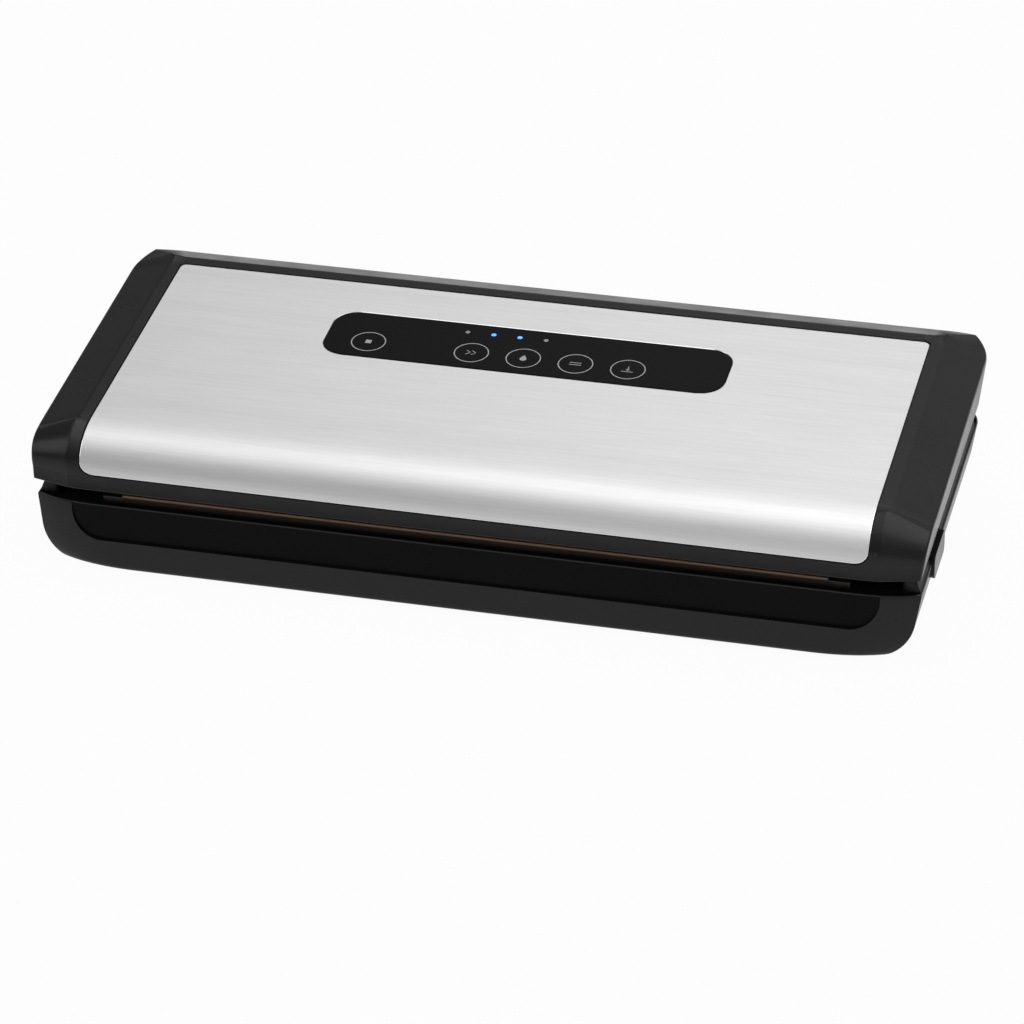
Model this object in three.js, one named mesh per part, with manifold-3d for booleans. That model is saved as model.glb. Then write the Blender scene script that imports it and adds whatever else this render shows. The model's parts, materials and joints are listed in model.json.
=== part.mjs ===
// A countertop vacuum sealer: a boat-shaped base with a front seal bar and a vacuum trough, and a
// hinged lid with a steel cover and a row of keys. Millimetres, +X right, +Y back, +Z up. The origin
// is at the middle of the footprint, on the surface that the feet stand on.

import * as THREE from 'three';
import { mergeVertices } from 'three/addons/utils/BufferGeometryUtils.js';
import Module from 'manifold-3d';

const wasm = await Module();
wasm.setup();

// ---------------------------------------------------------------- driving dimensions

const GAP = 0.3; // clearance between a seated piece and its seat
const WALL = 2.5; // plastic wall

const LID_WIDTH = 384; // over the outer edge of its top
const LID_DEPTH = 170; // front lip to the outer edge at the rear
const LID_SLOPE = 0.046; // the top rises towards the back by this much per millimetre
const LID_FRONT_RADIUS = 17.7; // the curve where the top rolls over to the front
const LID_FRONT_RISE = 5.2; // height of the front lip under that curve
const LID_LIP_LEAN = 1.6; // how far the lip stands out of the front face
const LID_WALL_LEAN = 2.5; // the side and rear walls come in by this much down at the lip
const LID_EDGE_RISE = 20; // height over the lip from which those walls stand upright
const LID_CORNER_RADIUS = 20; // rear corners in plan
const CHAMFER_START = 0.6; // flat rim beside the steel cover
const CHAMFER_WIDTH = 4.5;
const CHAMFER_DROP = 2;
const EDGE_DROP = 6.2; // the bands beside the cover fall this far to the outer edge
const END_SETBACK = 4.5; // how far the front curves back at each end
const BOW_LENGTH = 28;

const BASE_SETBACK_SIDE = 2.5; // lid's outer edge beyond the base's rim
const BASE_HEIGHT = 28; // underside of the tub to its front rim
const BASE_END_RADIUS = 18; // the ends are rounded under like a boat
const BASE_END_LEAN = 4.5; // the end walls come in by this much down at their foot
const BASE_FRONT_LEAN = 5.5; // the front wall stands out by this much at its foot
const BASE_EASE = 2.5; // rounding of the front and rear lower edges
const BASE_SETBACK_FRONT = 4; // lid lip ahead of the base's rim
const BASE_SETBACK_REAR = 3;
const BASE_CORNER_RADIUS = 17.5;
const SCOOP_FROM_END = 16.5; // finger scoop along the front wall, in from the base's ends
const SCOOP_DEPTH = 1.6;
const SCOOP_FOOT = 12.8; // height of the scoop's lower edge above the tub's underside
const SCOOP_RADIUS = 13;
const MOUTH_HEIGHT = 9.7; // base rim to lid lip, where the bag goes in

const FOOT_HEIGHT = 2.5;
const FOOT_RADIUS = 8;
const FOOT_TAPER = 0.6;
const FOOT_FROM_END = 41.5;
const FOOT_FROM_FRONT = 20.5;
const FOOT_FROM_BACK = 22.5;
const FOOT_PLUG_RADIUS = 2.5;
const FOOT_PLUG_RISE = 1.5; // the plug stands this far above the tub's floor

const PANEL_FROM_SIDE = 24; // steel cover, in from the lid's outer edge
const PANEL_THICKNESS = 0.8;
const PANEL_INSET = 0.4; // the cover lies this far below the frame around it
const PANEL_FOOT = 5.3; // its lower edge above the lid's lip
const PANEL_BACK_BAND = 20.6; // frame behind the cover
const PANEL_REAR_CORNER = 3;
const PANEL_FRONT_CORNER = 6;
const PANEL_SEAT = 1.9; // thickness of the frame's wall under the cover

const STRIP_WIDTH = 176; // control strip
const STRIP_LENGTH = 34.5;
const STRIP_RADIUS = 10;
const STRIP_FROM_BACK = 44.8; // its rear edge to the lid's rear edge
const STRIP_PROUD = 0.2;
const STRIP_TRAY_INSET = 5;
const STRIP_TRAY_END_INSET = 3.5;
const KEY_RADIUS = 7.75;
const KEY_PROUD = 0.15;
const KEY_TRAVEL = 0.5;
const KEY_STEM_RADIUS = 2;
const KEY_ROW = -5.5; // key row from the middle of the strip, towards the front
const KEY_PITCH = 22.95;
const FIRST_KEY_FROM_END = 19.1; // stands apart from the other four
const SECOND_KEY_X = -23.1;
const LED_ROW = 10.6;
const LED_PITCH = 11.6;
const LED_FIRST_X = -28.8;
const LED_RADIUS = 1.1;
const LED_PROUD = 0.1;
const LIT_LAMPS = [1, 2]; // the second and third of the four

const BAR_FROM_END = 29.5; // seal bar, in from the base's ends: 320 mm, for bags up to 300 mm wide
const BAR_WIDTH = 11;
const BAR_HEIGHT = 4;
const BAR_FROM_RIM = 3.5; // front of the bar behind the outside of the rim
const WIRE_WIDTH = 2.5;
const WIRE_THICKNESS = 0.4;
const WIRE_TAIL_FROM_END = 3; // tails through the deck, from the bar's ends
const LEAD_RADIUS = 1.1;
const TAPE_THICKNESS = 0.4;
const TAPE_FROM_TAIL = 6;
const PRESS_STRIP_HEIGHT = 4.1;

const TROUGH_FROM_END = 37.5; // inside of the vacuum trough, in from the base's ends
const TROUGH_WIDTH = 26;
const TROUGH_DEPTH = 8;
const TROUGH_WALL = 2;
const DOME_RISE = 6; // the lid's chamber over the trough, above the liner
const GASKET_WIDTH = 6;
const GASKET_FROM_TROUGH = 4; // inner edge of the gasket to the trough
const GASKET_FROM_BAR = 1.8;
const GASKET_TO_HOUSING = 2;
const LOWER_GASKET_HEIGHT = 7.8;
const UPPER_GASKET_HEIGHT = 4.4;

const DECK_STEP = 1; // the deck lies this far below the rim
const HOUSING_TOP_GAP = 1.4; // top of the raised housing to the lid's lip
const HOUSING_INSET = 4.5; // its side walls in from the base's side
const HOUSING_REAR_INSET = 3;
const FLANK_FOOT_INSET = 0.7; // its sides slope out to the rim
const FLANK_TOP_INSET = 3.6;
const ARM_AHEAD_OF_LATCH = 21; // the housing's two arms hold the latches
const SHOULDER_SETBACK = 6; // the arms' slim front ends behind the base's rim
const SHOULDER_WIDTH = 4;

const LINER_RISE = 2.4; // underside of the lid's liner above the lip
const LINER_WALL = 2.5;

const HINGE_FROM_END = 49.5;
const HINGE_FROM_BACK = 9.5; // axis to the lid's rear edge
const HINGE_BELOW_LIP = 3.6;
const KNUCKLE_RADIUS = 4;
const KNUCKLE_WIDTH = 7;
const KNUCKLE_SWING = 0.8; // room around a knuckle in its pocket
const CHEEK_WIDTH = 5;
const PIN_RADIUS = 1.5;
const PIN_CLEARANCE = 0.2;
const PIN_CAP = 1; // blind end of the pin's hole

const LATCH_FROM_FRONT = 46; // middle of the release button and of its hook, from the lid's lip
const BUTTON_LENGTH = 25;
const BUTTON_HEIGHT = 11;
const BUTTON_RADIUS = 3;
const BUTTON_PROUD = 1;
const BUTTON_TRAVEL = 3;
const BUTTON_TOP_BELOW_LIP = 6.5;
const BUTTON_BACK_INSET = 2.5; // the button's back plate is smaller all round
const HOOK_FROM_HOUSING = 7.3; // middle of the hook, in from the housing's side
const HOOK_THICKNESS = 3.6;
const HOOK_WIDTH = 12;
const HOOK_NOSE = 2.2;
const HOOK_NOSE_HEIGHT = 2;
const HOOK_OVER_CATCH = 0.5;
const HOOK_FLANGE = 1.8;
const HOOK_FLANGE_EDGE = 3;
const HOOK_SLOT_ROOM = 1.5;
const CATCH_THICKNESS = 2.2;
const CATCH_TONGUE = 4;
const CATCH_OVERLAP = 1.2; // how far the tongue reaches under the hook's nose
const SPRING_RADIUS = 3.6;
const SPRING_WIRE = 0.6;
const SPRING_TURNS = 5;
const SPRING_BELOW_MIDDLE = 1.5;
const RIB_THICKNESS = 2.2; // the rib that a spring bears on
const RIB_HALF_WIDTH = 8;

const SCREW_SHANK = 1.5;
const SCREW_HEAD_RADIUS = 3;
const SCREW_HEAD_HEIGHT = 1.8;
const SCREW_FLOOR = 0.9; // plastic under the tub's floor line left above a screw head
const POST_RADIUS = 4;
const TUB_POST_RISE = 9; // height of the tub's screw posts over its floor
const BASE_SCREW_REACH = 10; // length of a base screw beyond those posts
const BASE_SCREW_FROM_END = [79.5, 27.5]; // front pair, rear pair
const BASE_SCREW_FROM_FRONT = 10.5;
const BASE_SCREW_FROM_BACK = 32.5;
const LID_SCREW_REACH = 9;
const LID_SCREW_FROM_SIDE = [20, 27]; // front pair, rear pair
const LID_SCREW_FROM_FRONT = 17.5;
const LID_SCREW_FROM_BACK = 21.5;

const PUMP_FROM_HOUSING = 45.5; // middle of the pump behind the housing's front wall
const PUMP_Z = 21;
const MOTOR_X = [5, 50];
const MOTOR_RADIUS = 13;
const MOTOR_BOSS = 3; // bearing boss at the shaft's end of the motor
const HEAD_X = [66, 92];
const HEAD_HALF_DEPTH = 16;
const HEAD_RISE = 9; // top of the pump head above the shaft
const CAP_RISE = 14;
const CAP_RADIUS = 10;
const SHAFT_RADIUS = 1.5;
const SHAFT_SEAT = 7; // how deep the shaft sits in the motor and the pump head
const ECCENTRIC_RADIUS = 6;
const ECCENTRIC_OFFSET = 1.5;
const ECCENTRIC_WIDTH = 6;
const BRACKET_THICKNESS = 2;
const CRADLE_INSETS = [6, 10]; // the two cradles from the motor's ends
const CRADLE_THICKNESS = 4;
const NOZZLE_FROM_TROUGH_END = 8;
const NOZZLE_FLANGE = 6;
const NOZZLE_RISE = 6; // stands up in the trough to keep liquid out
const NOZZLE_TAIL = 3.5;
const NOZZLE_BORE = 1.2;
const HOSE_RADIUS = 4;
const HOSE_BORE = 2.8; // across the corners of its faceted bore
const SPOUT_RADIUS = 2.2; // inside the hose
const SPOUT_LENGTH = 8;
const SPOUT_RISE = 8; // above the tub's floor

const TRANSFORMER_X = [-122, -78];
const TRANSFORMER_FROM_HOUSING = 33.5;
const TRANSFORMER_DEPTH = 38;
const TRANSFORMER_HEIGHT = 28;
const COIL_INSET = 10;
const COIL_PROUD = 6;
const BOARD_X = [-60, -20];
const BOARD_FROM_HOUSING = 17.5;
const BOARD_LENGTH = 58;
const BOARD_RISE = 6; // power board above the tub's floor
const BOARD_THICKNESS = 1.6;
const BOARD_POST_INSET = 5;
const BOARD_POST_RADIUS = 2.5;
const TERMINAL_INSET = 12;
const TERMINAL = [6, 7, 6];
// Components by the corner nearest the board's own and by their width, length and height.
const RELAY = { corner: [4, 12], size: [16, 20, 15] };
const FILM_CAPACITOR = { corner: [6, 36], size: [8, 12, 8] };
const HEAT_SINK = { corner: [24, 34], size: [12, 4, 18] };
const CAPACITOR = { middle: [31, 22], radius: 5.5, height: 16 };
const SOLDER = 0.5; // components sink this far into their board

const VENT_COUNT = 6;
const VENT_PITCH = 7;
const VENT_WIDTH = 2.5;
const VENT_FROM_BACK = 30.5;
const VENT_LENGTH = 16;

const SWITCH_FROM_END = 39.5;
const SWITCH_FROM_HOUSING = 35.5;
const SWITCH_BODY = [20, 8, 12];
const SWITCH_DEPTH = 7; // bore that the plunger runs in
const SWITCH_TRAVEL = 1.5;
const PLUNGER_RADIUS = 2;

const GLAND_FROM_END = 39.5;
const GLAND_Z = 18;
const GLAND_RADIUS = 4.5;
const GLAND_FLANGE = 2.5;
const GLAND_BORE = 3.2;
const GLAND_TAIL = 5;

const CONTROL_BOARD_HALF = [92, 19];
const CONTROL_BOARD_DROP = 3; // under the lid's wall
const KEY_SWITCH_HEIGHT = 1.2;
const KEY_SWITCH_HALF = 3;
const RIBBON_X = 60;
const RIBBON_HALF = 6;
const RIBBON_THICKNESS = 0.8;
const RIBBON_BEND = 6;
const SOCKET_DEPTH = 6;
const CHIP = { corner: [-66, -3], size: [14, 12, 4] }; // under the control board

// ---------------------------------------------------------------- levels and edges worked out from them

const tubUnderside = FOOT_HEIGHT;
const tubFloor = tubUnderside + WALL;
const rimZ = tubUnderside + BASE_HEIGHT;
const lipZ = rimZ + MOUTH_HEIGHT;
const deckTop = rimZ - DECK_STEP;
const deckUnder = deckTop - WALL;
const housingTop = lipZ - HOUSING_TOP_GAP;
const linerUnder = lipZ + LINER_RISE;
const linerTop = linerUnder + LINER_WALL;
const above = lipZ + 60; // clear over everything

const frontLean = (z) => BASE_FRONT_LEAN * (rimZ - z) / BASE_HEIGHT;
const footAhead = frontLean(tubUnderside + BASE_EASE) - BASE_SETBACK_FRONT;
const lidBack = (LID_DEPTH + footAhead) / 2;
const lidFront = lidBack - LID_DEPTH;
const lidHalf = LID_WIDTH / 2;
const baseHalf = lidHalf - BASE_SETBACK_SIDE;
const panelHalf = lidHalf - PANEL_FROM_SIDE;
const scoopHalf = baseHalf - SCOOP_FROM_END;
const baseFront = lidFront + BASE_SETBACK_FRONT;
const baseBack = lidBack - BASE_SETBACK_REAR;
const endLeanAngle = Math.atan(BASE_END_LEAN / BASE_HEIGHT);
const beyond = LID_DEPTH; // clear of the part's front and back

const slopeAngle = Math.atan(LID_SLOPE);
const curveY = lidFront + LID_LIP_LEAN + LID_FRONT_RADIUS; // centre of the lid's front curve
const curveZ = lipZ + LID_FRONT_RISE;
const recessDepth = PANEL_INSET + PANEL_THICKNESS + GAP;
const shellUnderPanel = recessDepth + PANEL_SEAT;
const panelBack = lidBack - PANEL_BACK_BAND;
const panelFoot = lipZ + PANEL_FOOT;
const lidWallInset = LID_WALL_LEAN + WALL + GAP; // from the lid's outer edge to what lies inside its walls

const barHalf = baseHalf - BAR_FROM_END;
const barFront = baseFront + BAR_FROM_RIM;
const barBack = barFront + BAR_WIDTH;
const barUnder = deckTop + GAP;
const barTop = barUnder + BAR_HEIGHT;
const wireTop = barTop + GAP + WIRE_THICKNESS;
const leadX = barHalf - WIRE_TAIL_FROM_END;
const leadY = (barFront + barBack) / 2;

const troughHalf = baseHalf - TROUGH_FROM_END;
const gasketReach = GASKET_FROM_TROUGH + GASKET_WIDTH;
const troughFront = barBack + GAP + TAPE_THICKNESS + GASKET_FROM_BAR + gasketReach;
const troughBack = troughFront + TROUGH_WIDTH;
const troughMiddle = (troughFront + troughBack) / 2;
const troughFloor = deckTop - TROUGH_DEPTH;
const troughUnder = troughFloor - TROUGH_WALL;

const latchY = lidFront + LATCH_FROM_FRONT;
const housingHalf = baseHalf - HOUSING_INSET;
const housingBack = baseBack - HOUSING_REAR_INSET;
const housingFront = troughBack + gasketReach + GASKET_TO_HOUSING;
const armInner = troughHalf + gasketReach + GASKET_TO_HOUSING;
const armFront = latchY - ARM_AHEAD_OF_LATCH;
const shoulderFront = baseFront + SHOULDER_SETBACK;

const hingeX = baseHalf - HINGE_FROM_END;
const hingeY = lidBack - HINGE_FROM_BACK;
const hingeZ = lipZ - HINGE_BELOW_LIP;
const cheekInner = KNUCKLE_WIDTH / 2 + GAP;
const cheekOuter = cheekInner + CHEEK_WIDTH;

const buttonTop = lipZ - BUTTON_TOP_BELOW_LIP;
const buttonUnder = buttonTop - BUTTON_HEIGHT;
const buttonFace = baseHalf + BUTTON_PROUD;
const buttonInner = housingHalf - WALL; // inside of the housing's side wall
const catchTop = buttonTop;
const catchUnder = catchTop - CATCH_THICKNESS;
const noseUnder = catchTop + HOOK_OVER_CATCH;
const hookX = housingHalf - HOOK_FROM_HOUSING;
const noseTip = hookX - HOOK_THICKNESS / 2 - HOOK_NOSE;
const springZ = buttonUnder + BUTTON_HEIGHT / 2 - SPRING_BELOW_MIDDLE;
const springInner = armInner + WALL + GAP + RIB_THICKNESS;

const bothSides = (x, y) => [[-x, y], [x, y]];
const footX = baseHalf - FOOT_FROM_END;
const footRows = [['front', baseFront + FOOT_FROM_FRONT], ['rear', baseBack - FOOT_FROM_BACK]];
const tubPostTop = tubFloor + TUB_POST_RISE;
const screwSeat = tubUnderside + SCREW_HEAD_HEIGHT + 2 * GAP + SCREW_FLOOR;
const baseScrewTip = tubPostTop + BASE_SCREW_REACH;
const baseScrews = [
  ...bothSides(baseHalf - BASE_SCREW_FROM_END[0], baseFront + BASE_SCREW_FROM_FRONT),
  ...bothSides(baseHalf - BASE_SCREW_FROM_END[1], baseBack - BASE_SCREW_FROM_BACK),
];
const lidScrews = [
  ...bothSides(lidHalf - LID_SCREW_FROM_SIDE[0], lidFront + LID_SCREW_FROM_FRONT),
  ...bothSides(lidHalf - LID_SCREW_FROM_SIDE[1], lidBack - LID_SCREW_FROM_BACK),
];
const lidScrewTip = linerTop + LID_SCREW_REACH;

const pumpY = housingFront + PUMP_FROM_HOUSING;
const nozzleX = troughHalf - NOZZLE_FROM_TROUGH_END;
const spoutX = (HEAD_X[0] + HEAD_X[1]) / 2;
const spoutZ = tubFloor + SPOUT_RISE;
const headFront = pumpY - HEAD_HALF_DEPTH;
const transformerFront = housingFront + TRANSFORMER_FROM_HOUSING;
const boardUnder = tubFloor + BOARD_RISE;
const boardFront = housingFront + BOARD_FROM_HOUSING;
const boardY = [boardFront, boardFront + BOARD_LENGTH];
const boardTerminals = [BOARD_X[0] + TERMINAL_INSET, BOARD_X[1] - TERMINAL_INSET];
const boardPosts = [0, 1].flatMap((i) => [0, 1].map((j) => [
  BOARD_X[i] + BOARD_POST_INSET * (1 - 2 * i), boardY[j] + BOARD_POST_INSET * (1 - 2 * j),
]));
const ventBack = baseBack - VENT_FROM_BACK + VENT_LENGTH;
const switchX = baseHalf - SWITCH_FROM_END;
const switchY = housingFront + SWITCH_FROM_HOUSING;
const glandX = GLAND_FROM_END - baseHalf;
const switchTop = housingTop - WALL - GAP;
const plungerTop = linerUnder - GAP;

// Levels on the strip's own scale, square to the steel cover and from its outer face.
const lidCeiling = PANEL_INSET - shellUnderPanel;
const trayHalf = [STRIP_WIDTH / 2 - STRIP_TRAY_INSET, STRIP_LENGTH / 2 - STRIP_TRAY_END_INSET];
const trayUnder = lidCeiling + GAP;
const controlBoardTop = lidCeiling - CONTROL_BOARD_DROP;
const keyFoot = controlBoardTop + KEY_SWITCH_HEIGHT + KEY_TRAVEL + 0.1;

// ---------------------------------------------------------------- solids

function solid(geometry) {
  const bare = geometry.index ? geometry.toNonIndexed() : geometry.clone();
  bare.deleteAttribute('normal');
  bare.deleteAttribute('uv');
  const merged = mergeVertices(bare, 1e-4);
  return new wasm.Manifold(new wasm.Mesh({
    numProp: 3,
    vertProperties: new Float32Array(merged.attributes.position.array),
    triVerts: new Uint32Array(merged.index.array),
  }));
}

const join = (first, ...rest) => rest.reduce((sum, item) => sum.add(item), first);
const cut = (first, ...rest) => rest.reduce((sum, item) => sum.subtract(item), first);
const meet = (first, ...rest) => rest.reduce((sum, item) => sum.intersect(item), first);

function geometryOf(manifold) {
  const mesh = manifold.getMesh();
  const geometry = new THREE.BufferGeometry();
  const positions = new Float32Array((mesh.vertProperties.length / mesh.numProp) * 3);
  for (let v = 0; v < positions.length / 3; v += 1) {
    for (let k = 0; k < 3; k += 1) positions[3 * v + k] = mesh.vertProperties[v * mesh.numProp + k];
  }
  geometry.setAttribute('position', new THREE.BufferAttribute(positions, 3));
  geometry.setIndex(new THREE.BufferAttribute(new Uint32Array(mesh.triVerts), 1));
  geometry.computeVertexNormals();
  return geometry;
}

// A block given by its low and high corners.
function block([x0, y0, z0], [x1, y1, z1]) {
  const geometry = new THREE.BoxGeometry(x1 - x0, y1 - y0, z1 - z0);
  return solid(geometry.translate((x0 + x1) / 2, (y0 + y1) / 2, (z0 + z1) / 2));
}

function extrude(shape, depth, curveSegments) {
  return new THREE.ExtrudeGeometry(shape, { depth, bevelEnabled: false, curveSegments });
}

// Shapes drawn in plan, from the front or from the side, and drawn out along the third axis.
function alongZ(shape, z0, z1, curveSegments = 3) {
  return solid(extrude(shape, z1 - z0, curveSegments).translate(0, 0, z0));
}

function alongY(shape, y0, y1, curveSegments = 4) {
  return solid(extrude(shape, y1 - y0, curveSegments).rotateX(Math.PI / 2).translate(0, y1, 0));
}

function alongX(shape, x0, x1, curveSegments = 5) {
  const turn = new THREE.Matrix4().makeBasis(
    new THREE.Vector3(0, 1, 0), new THREE.Vector3(0, 0, 1), new THREE.Vector3(1, 0, 0),
  );
  return solid(extrude(shape, x1 - x0, curveSegments).applyMatrix4(turn).translate(x0, 0, 0));
}

const upright = new THREE.Vector3(0, 0, 1);

// A round bar from one point to another.
function rod(from, to, radius, sides = 20, topRadius = radius) {
  const start = new THREE.Vector3(...from);
  const way = new THREE.Vector3(...to).sub(start);
  const geometry = new THREE.CylinderGeometry(topRadius, radius, way.length(), sides);
  geometry.rotateX(Math.PI / 2).translate(0, 0, way.length() / 2);
  geometry.applyQuaternion(new THREE.Quaternion().setFromUnitVectors(upright, way.clone().normalize()));
  return solid(geometry.translate(...from));
}

function roundedRectangle(x0, y0, x1, y1, radius) {
  const shape = new THREE.Shape();
  shape.moveTo(x0 + radius, y0);
  shape.lineTo(x1 - radius, y0);
  shape.absarc(x1 - radius, y0 + radius, radius, -Math.PI / 2, 0, false);
  shape.lineTo(x1, y1 - radius);
  shape.absarc(x1 - radius, y1 - radius, radius, 0, Math.PI / 2, false);
  shape.lineTo(x0 + radius, y1);
  shape.absarc(x0 + radius, y1 - radius, radius, Math.PI / 2, Math.PI, false);
  shape.lineTo(x0, y0 + radius);
  shape.absarc(x0 + radius, y0 + radius, radius, Math.PI, Math.PI * 1.5, false);
  return shape;
}

function polygon(points) {
  return new THREE.Shape(points.map(([x, y]) => new THREE.Vector2(x, y)));
}

// A solid through a row of level outlines that all have the same number of points. place turns a
// point of an outline and its level into X, Y and Z.
function loft(rings, place) {
  const count = rings[0].outline.length;
  const positions = rings.flatMap(({ outline, level }) => outline.flatMap((p) => place(p.x, p.y, level)));
  const index = [];
  for (let ring = 0; ring + 1 < rings.length; ring += 1) {
    for (let point = 0; point < count; point += 1) {
      const a = ring * count + point;
      const b = ring * count + (point + 1) % count;
      index.push(a, b, b + count, a, b + count, a + count);
    }
  }
  const last = (rings.length - 1) * count;
  for (const [a, b, c] of THREE.ShapeUtils.triangulateShape(rings[0].outline, [])) index.push(c, b, a);
  for (const [a, b, c] of THREE.ShapeUtils.triangulateShape(rings.at(-1).outline, [])) {
    index.push(last + a, last + b, last + c);
  }
  const geometry = new THREE.BufferGeometry();
  geometry.setAttribute('position', new THREE.Float32BufferAttribute(positions, 3));
  geometry.setIndex(index);
  return solid(geometry);
}

// The corners of a shape, without the twins that rounding leaves where a line meets an arc.
function cornersOf(shape, divisions) {
  const corners = shape.getPoints(divisions);
  return corners.filter((p, n) => p.distanceTo(corners.at(n - 1)) > 1e-6);
}

const acrossX = (y, z, x) => [x, y, z];
const upZ = (x, y, z) => [x, y, z];

// A block on the right-hand side, or its mirror image on the left.
function sideBlock(side, [x0, y0, z0], [x1, y1, z1]) {
  const low = Math.min(side * x0, side * x1);
  const high = Math.max(side * x0, side * x1);
  return block([low, y0, z0], [high, y1, z1]);
}

// ---------------------------------------------------------------- meshes

const model = new THREE.Group();

const colours = {
  plastic: [0x1b1c1e, 0.42, 0], gloss: [0x08090a, 0.12, 0], steel: [0xc6c7c8, 0.34, 1],
  rubber: [0x1a1a1a, 0.9, 0], foam: [0x3a3b3d, 0.95, 0], silicone: [0x8c2f22, 0.7, 0],
  tape: [0x9b7a4e, 0.6, 0], bright: [0xb9bbbd, 0.25, 1], board: [0x1f6b3a, 0.6, 0],
  copper: [0x9a5a2c, 0.45, 1], clear: [0xd9dde0, 0.25, 0], blue: [0x2f7bff, 0.3, 0],
  bakelite: [0x4b3a2c, 0.7, 0], white: [0xd8d8d4, 0.6, 0], red: [0xa32018, 0.6, 0],
};

function add(name, colour, manifold, parent = model) {
  const [color, roughness, metalness] = colours[colour];
  const material = new THREE.MeshStandardMaterial({ color, roughness, metalness });
  const mesh = new THREE.Mesh(geometryOf(manifold), material);
  mesh.name = name;
  parent.add(mesh);
  return mesh;
}

const sides = [['left', -1], ['right', 1]];

// ---------------------------------------------------------------- shared outlines

// Plan with a front that bows back at both ends and with rounded rear corners.
function planOutline({ half, front, back, corner, bow }) {
  const shape = new THREE.Shape();
  shape.moveTo(-half, front + bow);
  shape.quadraticCurveTo(-half + BOW_LENGTH * 0.4, front, -half + BOW_LENGTH, front);
  shape.lineTo(half - BOW_LENGTH, front);
  shape.quadraticCurveTo(half - BOW_LENGTH * 0.4, front, half, front + bow);
  shape.lineTo(half, back - corner);
  shape.absarc(half - corner, back - corner, corner, 0, Math.PI / 2, false);
  shape.lineTo(-half + corner, back);
  shape.absarc(-half + corner, back - corner, corner, Math.PI / 2, Math.PI, false);
  return shape;
}

function movedIn(edge, inset) {
  return {
    half: edge.half - inset,
    front: edge.front + inset,
    back: edge.back - inset,
    corner: Math.max(edge.corner - inset, 1),
    bow: edge.bow,
  };
}

const baseEdge = {
  half: baseHalf, front: baseFront, back: baseBack, corner: BASE_CORNER_RADIUS, bow: END_SETBACK,
};
const lidWallEdge = {
  half: lidHalf, front: lidFront - beyond, back: lidBack, corner: LID_CORNER_RADIUS, bow: END_SETBACK,
};

// Height of the lid's full profile, taken down square to it by an inset.
function lidTopAt(y, inset = 0) {
  const rise = (LID_FRONT_RADIUS - inset) / Math.cos(slopeAngle);
  return curveZ + rise + LID_SLOPE * (y - curveY);
}

// Side view of the lid from its lip over the front curve and back along the top. Towards the ends
// of the lid the top lies lower and the front is set back.
function lidSection(inset, floorZ, drop = 0, setback = 0) {
  const radius = LID_FRONT_RADIUS - drop - inset;
  const middle = curveY + setback - drop;
  const rear = lidBack + beyond;
  const steps = 9;
  const points = [[lidFront + setback + inset, floorZ]];
  for (let step = 0; step <= steps; step += 1) {
    const angle = Math.PI - (Math.PI / 2 - slopeAngle) * (step / steps);
    points.push([middle + radius * Math.cos(angle), curveZ + radius * Math.sin(angle)]);
  }
  points.push([rear, curveZ + radius / Math.cos(slopeAngle) + LID_SLOPE * (rear - middle)]);
  points.push([rear, floorZ]);
  return points.reverse();
}

// Where the bands beside the steel cover begin and end, measured out from the cover's edge: the drop
// of the top and the setback of the front.
function bandStations(start, edge) {
  const chamferEnd = start + CHAMFER_WIDTH;
  const past = 1; // the bands run on beyond the lid's walls, which then cut them
  const further = (from, to) => to + (to - from) * (past / (edge - chamferEnd));
  return [
    { at: start, drop: 0, setback: 0 },
    { at: chamferEnd, drop: CHAMFER_DROP, setback: CHAMFER_DROP },
    { at: edge + past, drop: further(CHAMFER_DROP, EDGE_DROP), setback: further(CHAMFER_DROP, END_SETBACK) },
  ];
}

const sideBands = bandStations(panelHalf + CHAMFER_START, lidHalf);
const rearBand = bandStations(panelBack + CHAMFER_START, lidBack);

function lidBody(inset, floorZ) {
  const section = ({ drop, setback }) => cornersOf(polygon(lidSection(inset, floorZ, drop, setback)));
  const right = sideBands.map((station) => ({ outline: section(station), level: station.at }));
  const left = right.map(({ outline, level }) => ({ outline, level: -level })).reverse();
  const front = lidFront - beyond;
  const rear = polygon([
    [front, floorZ - 1], [lidBack + 1, floorZ - 1],
    ...rearBand.map(({ at, drop }) => [at, lidTopAt(at, inset) - drop]).reverse(),
    [front, lidTopAt(front, inset)],
  ]);
  const edgeZ = lipZ + LID_EDGE_RISE;
  const wall = (z) => {
    const lean = LID_WALL_LEAN * Math.max(edgeZ - z, 0) / LID_EDGE_RISE;
    return { outline: cornersOf(planOutline(movedIn(lidWallEdge, inset + lean)), 4), level: z };
  };
  return meet(
    loft([...left, ...right], acrossX),
    alongX(rear, -lidHalf - 1, lidHalf + 1),
    loft([floorZ - 1, edgeZ, above].map(wall), upZ),
  );
}

const lidProfile = (inset, floorZ) => polygon(lidSection(inset, floorZ));

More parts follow.
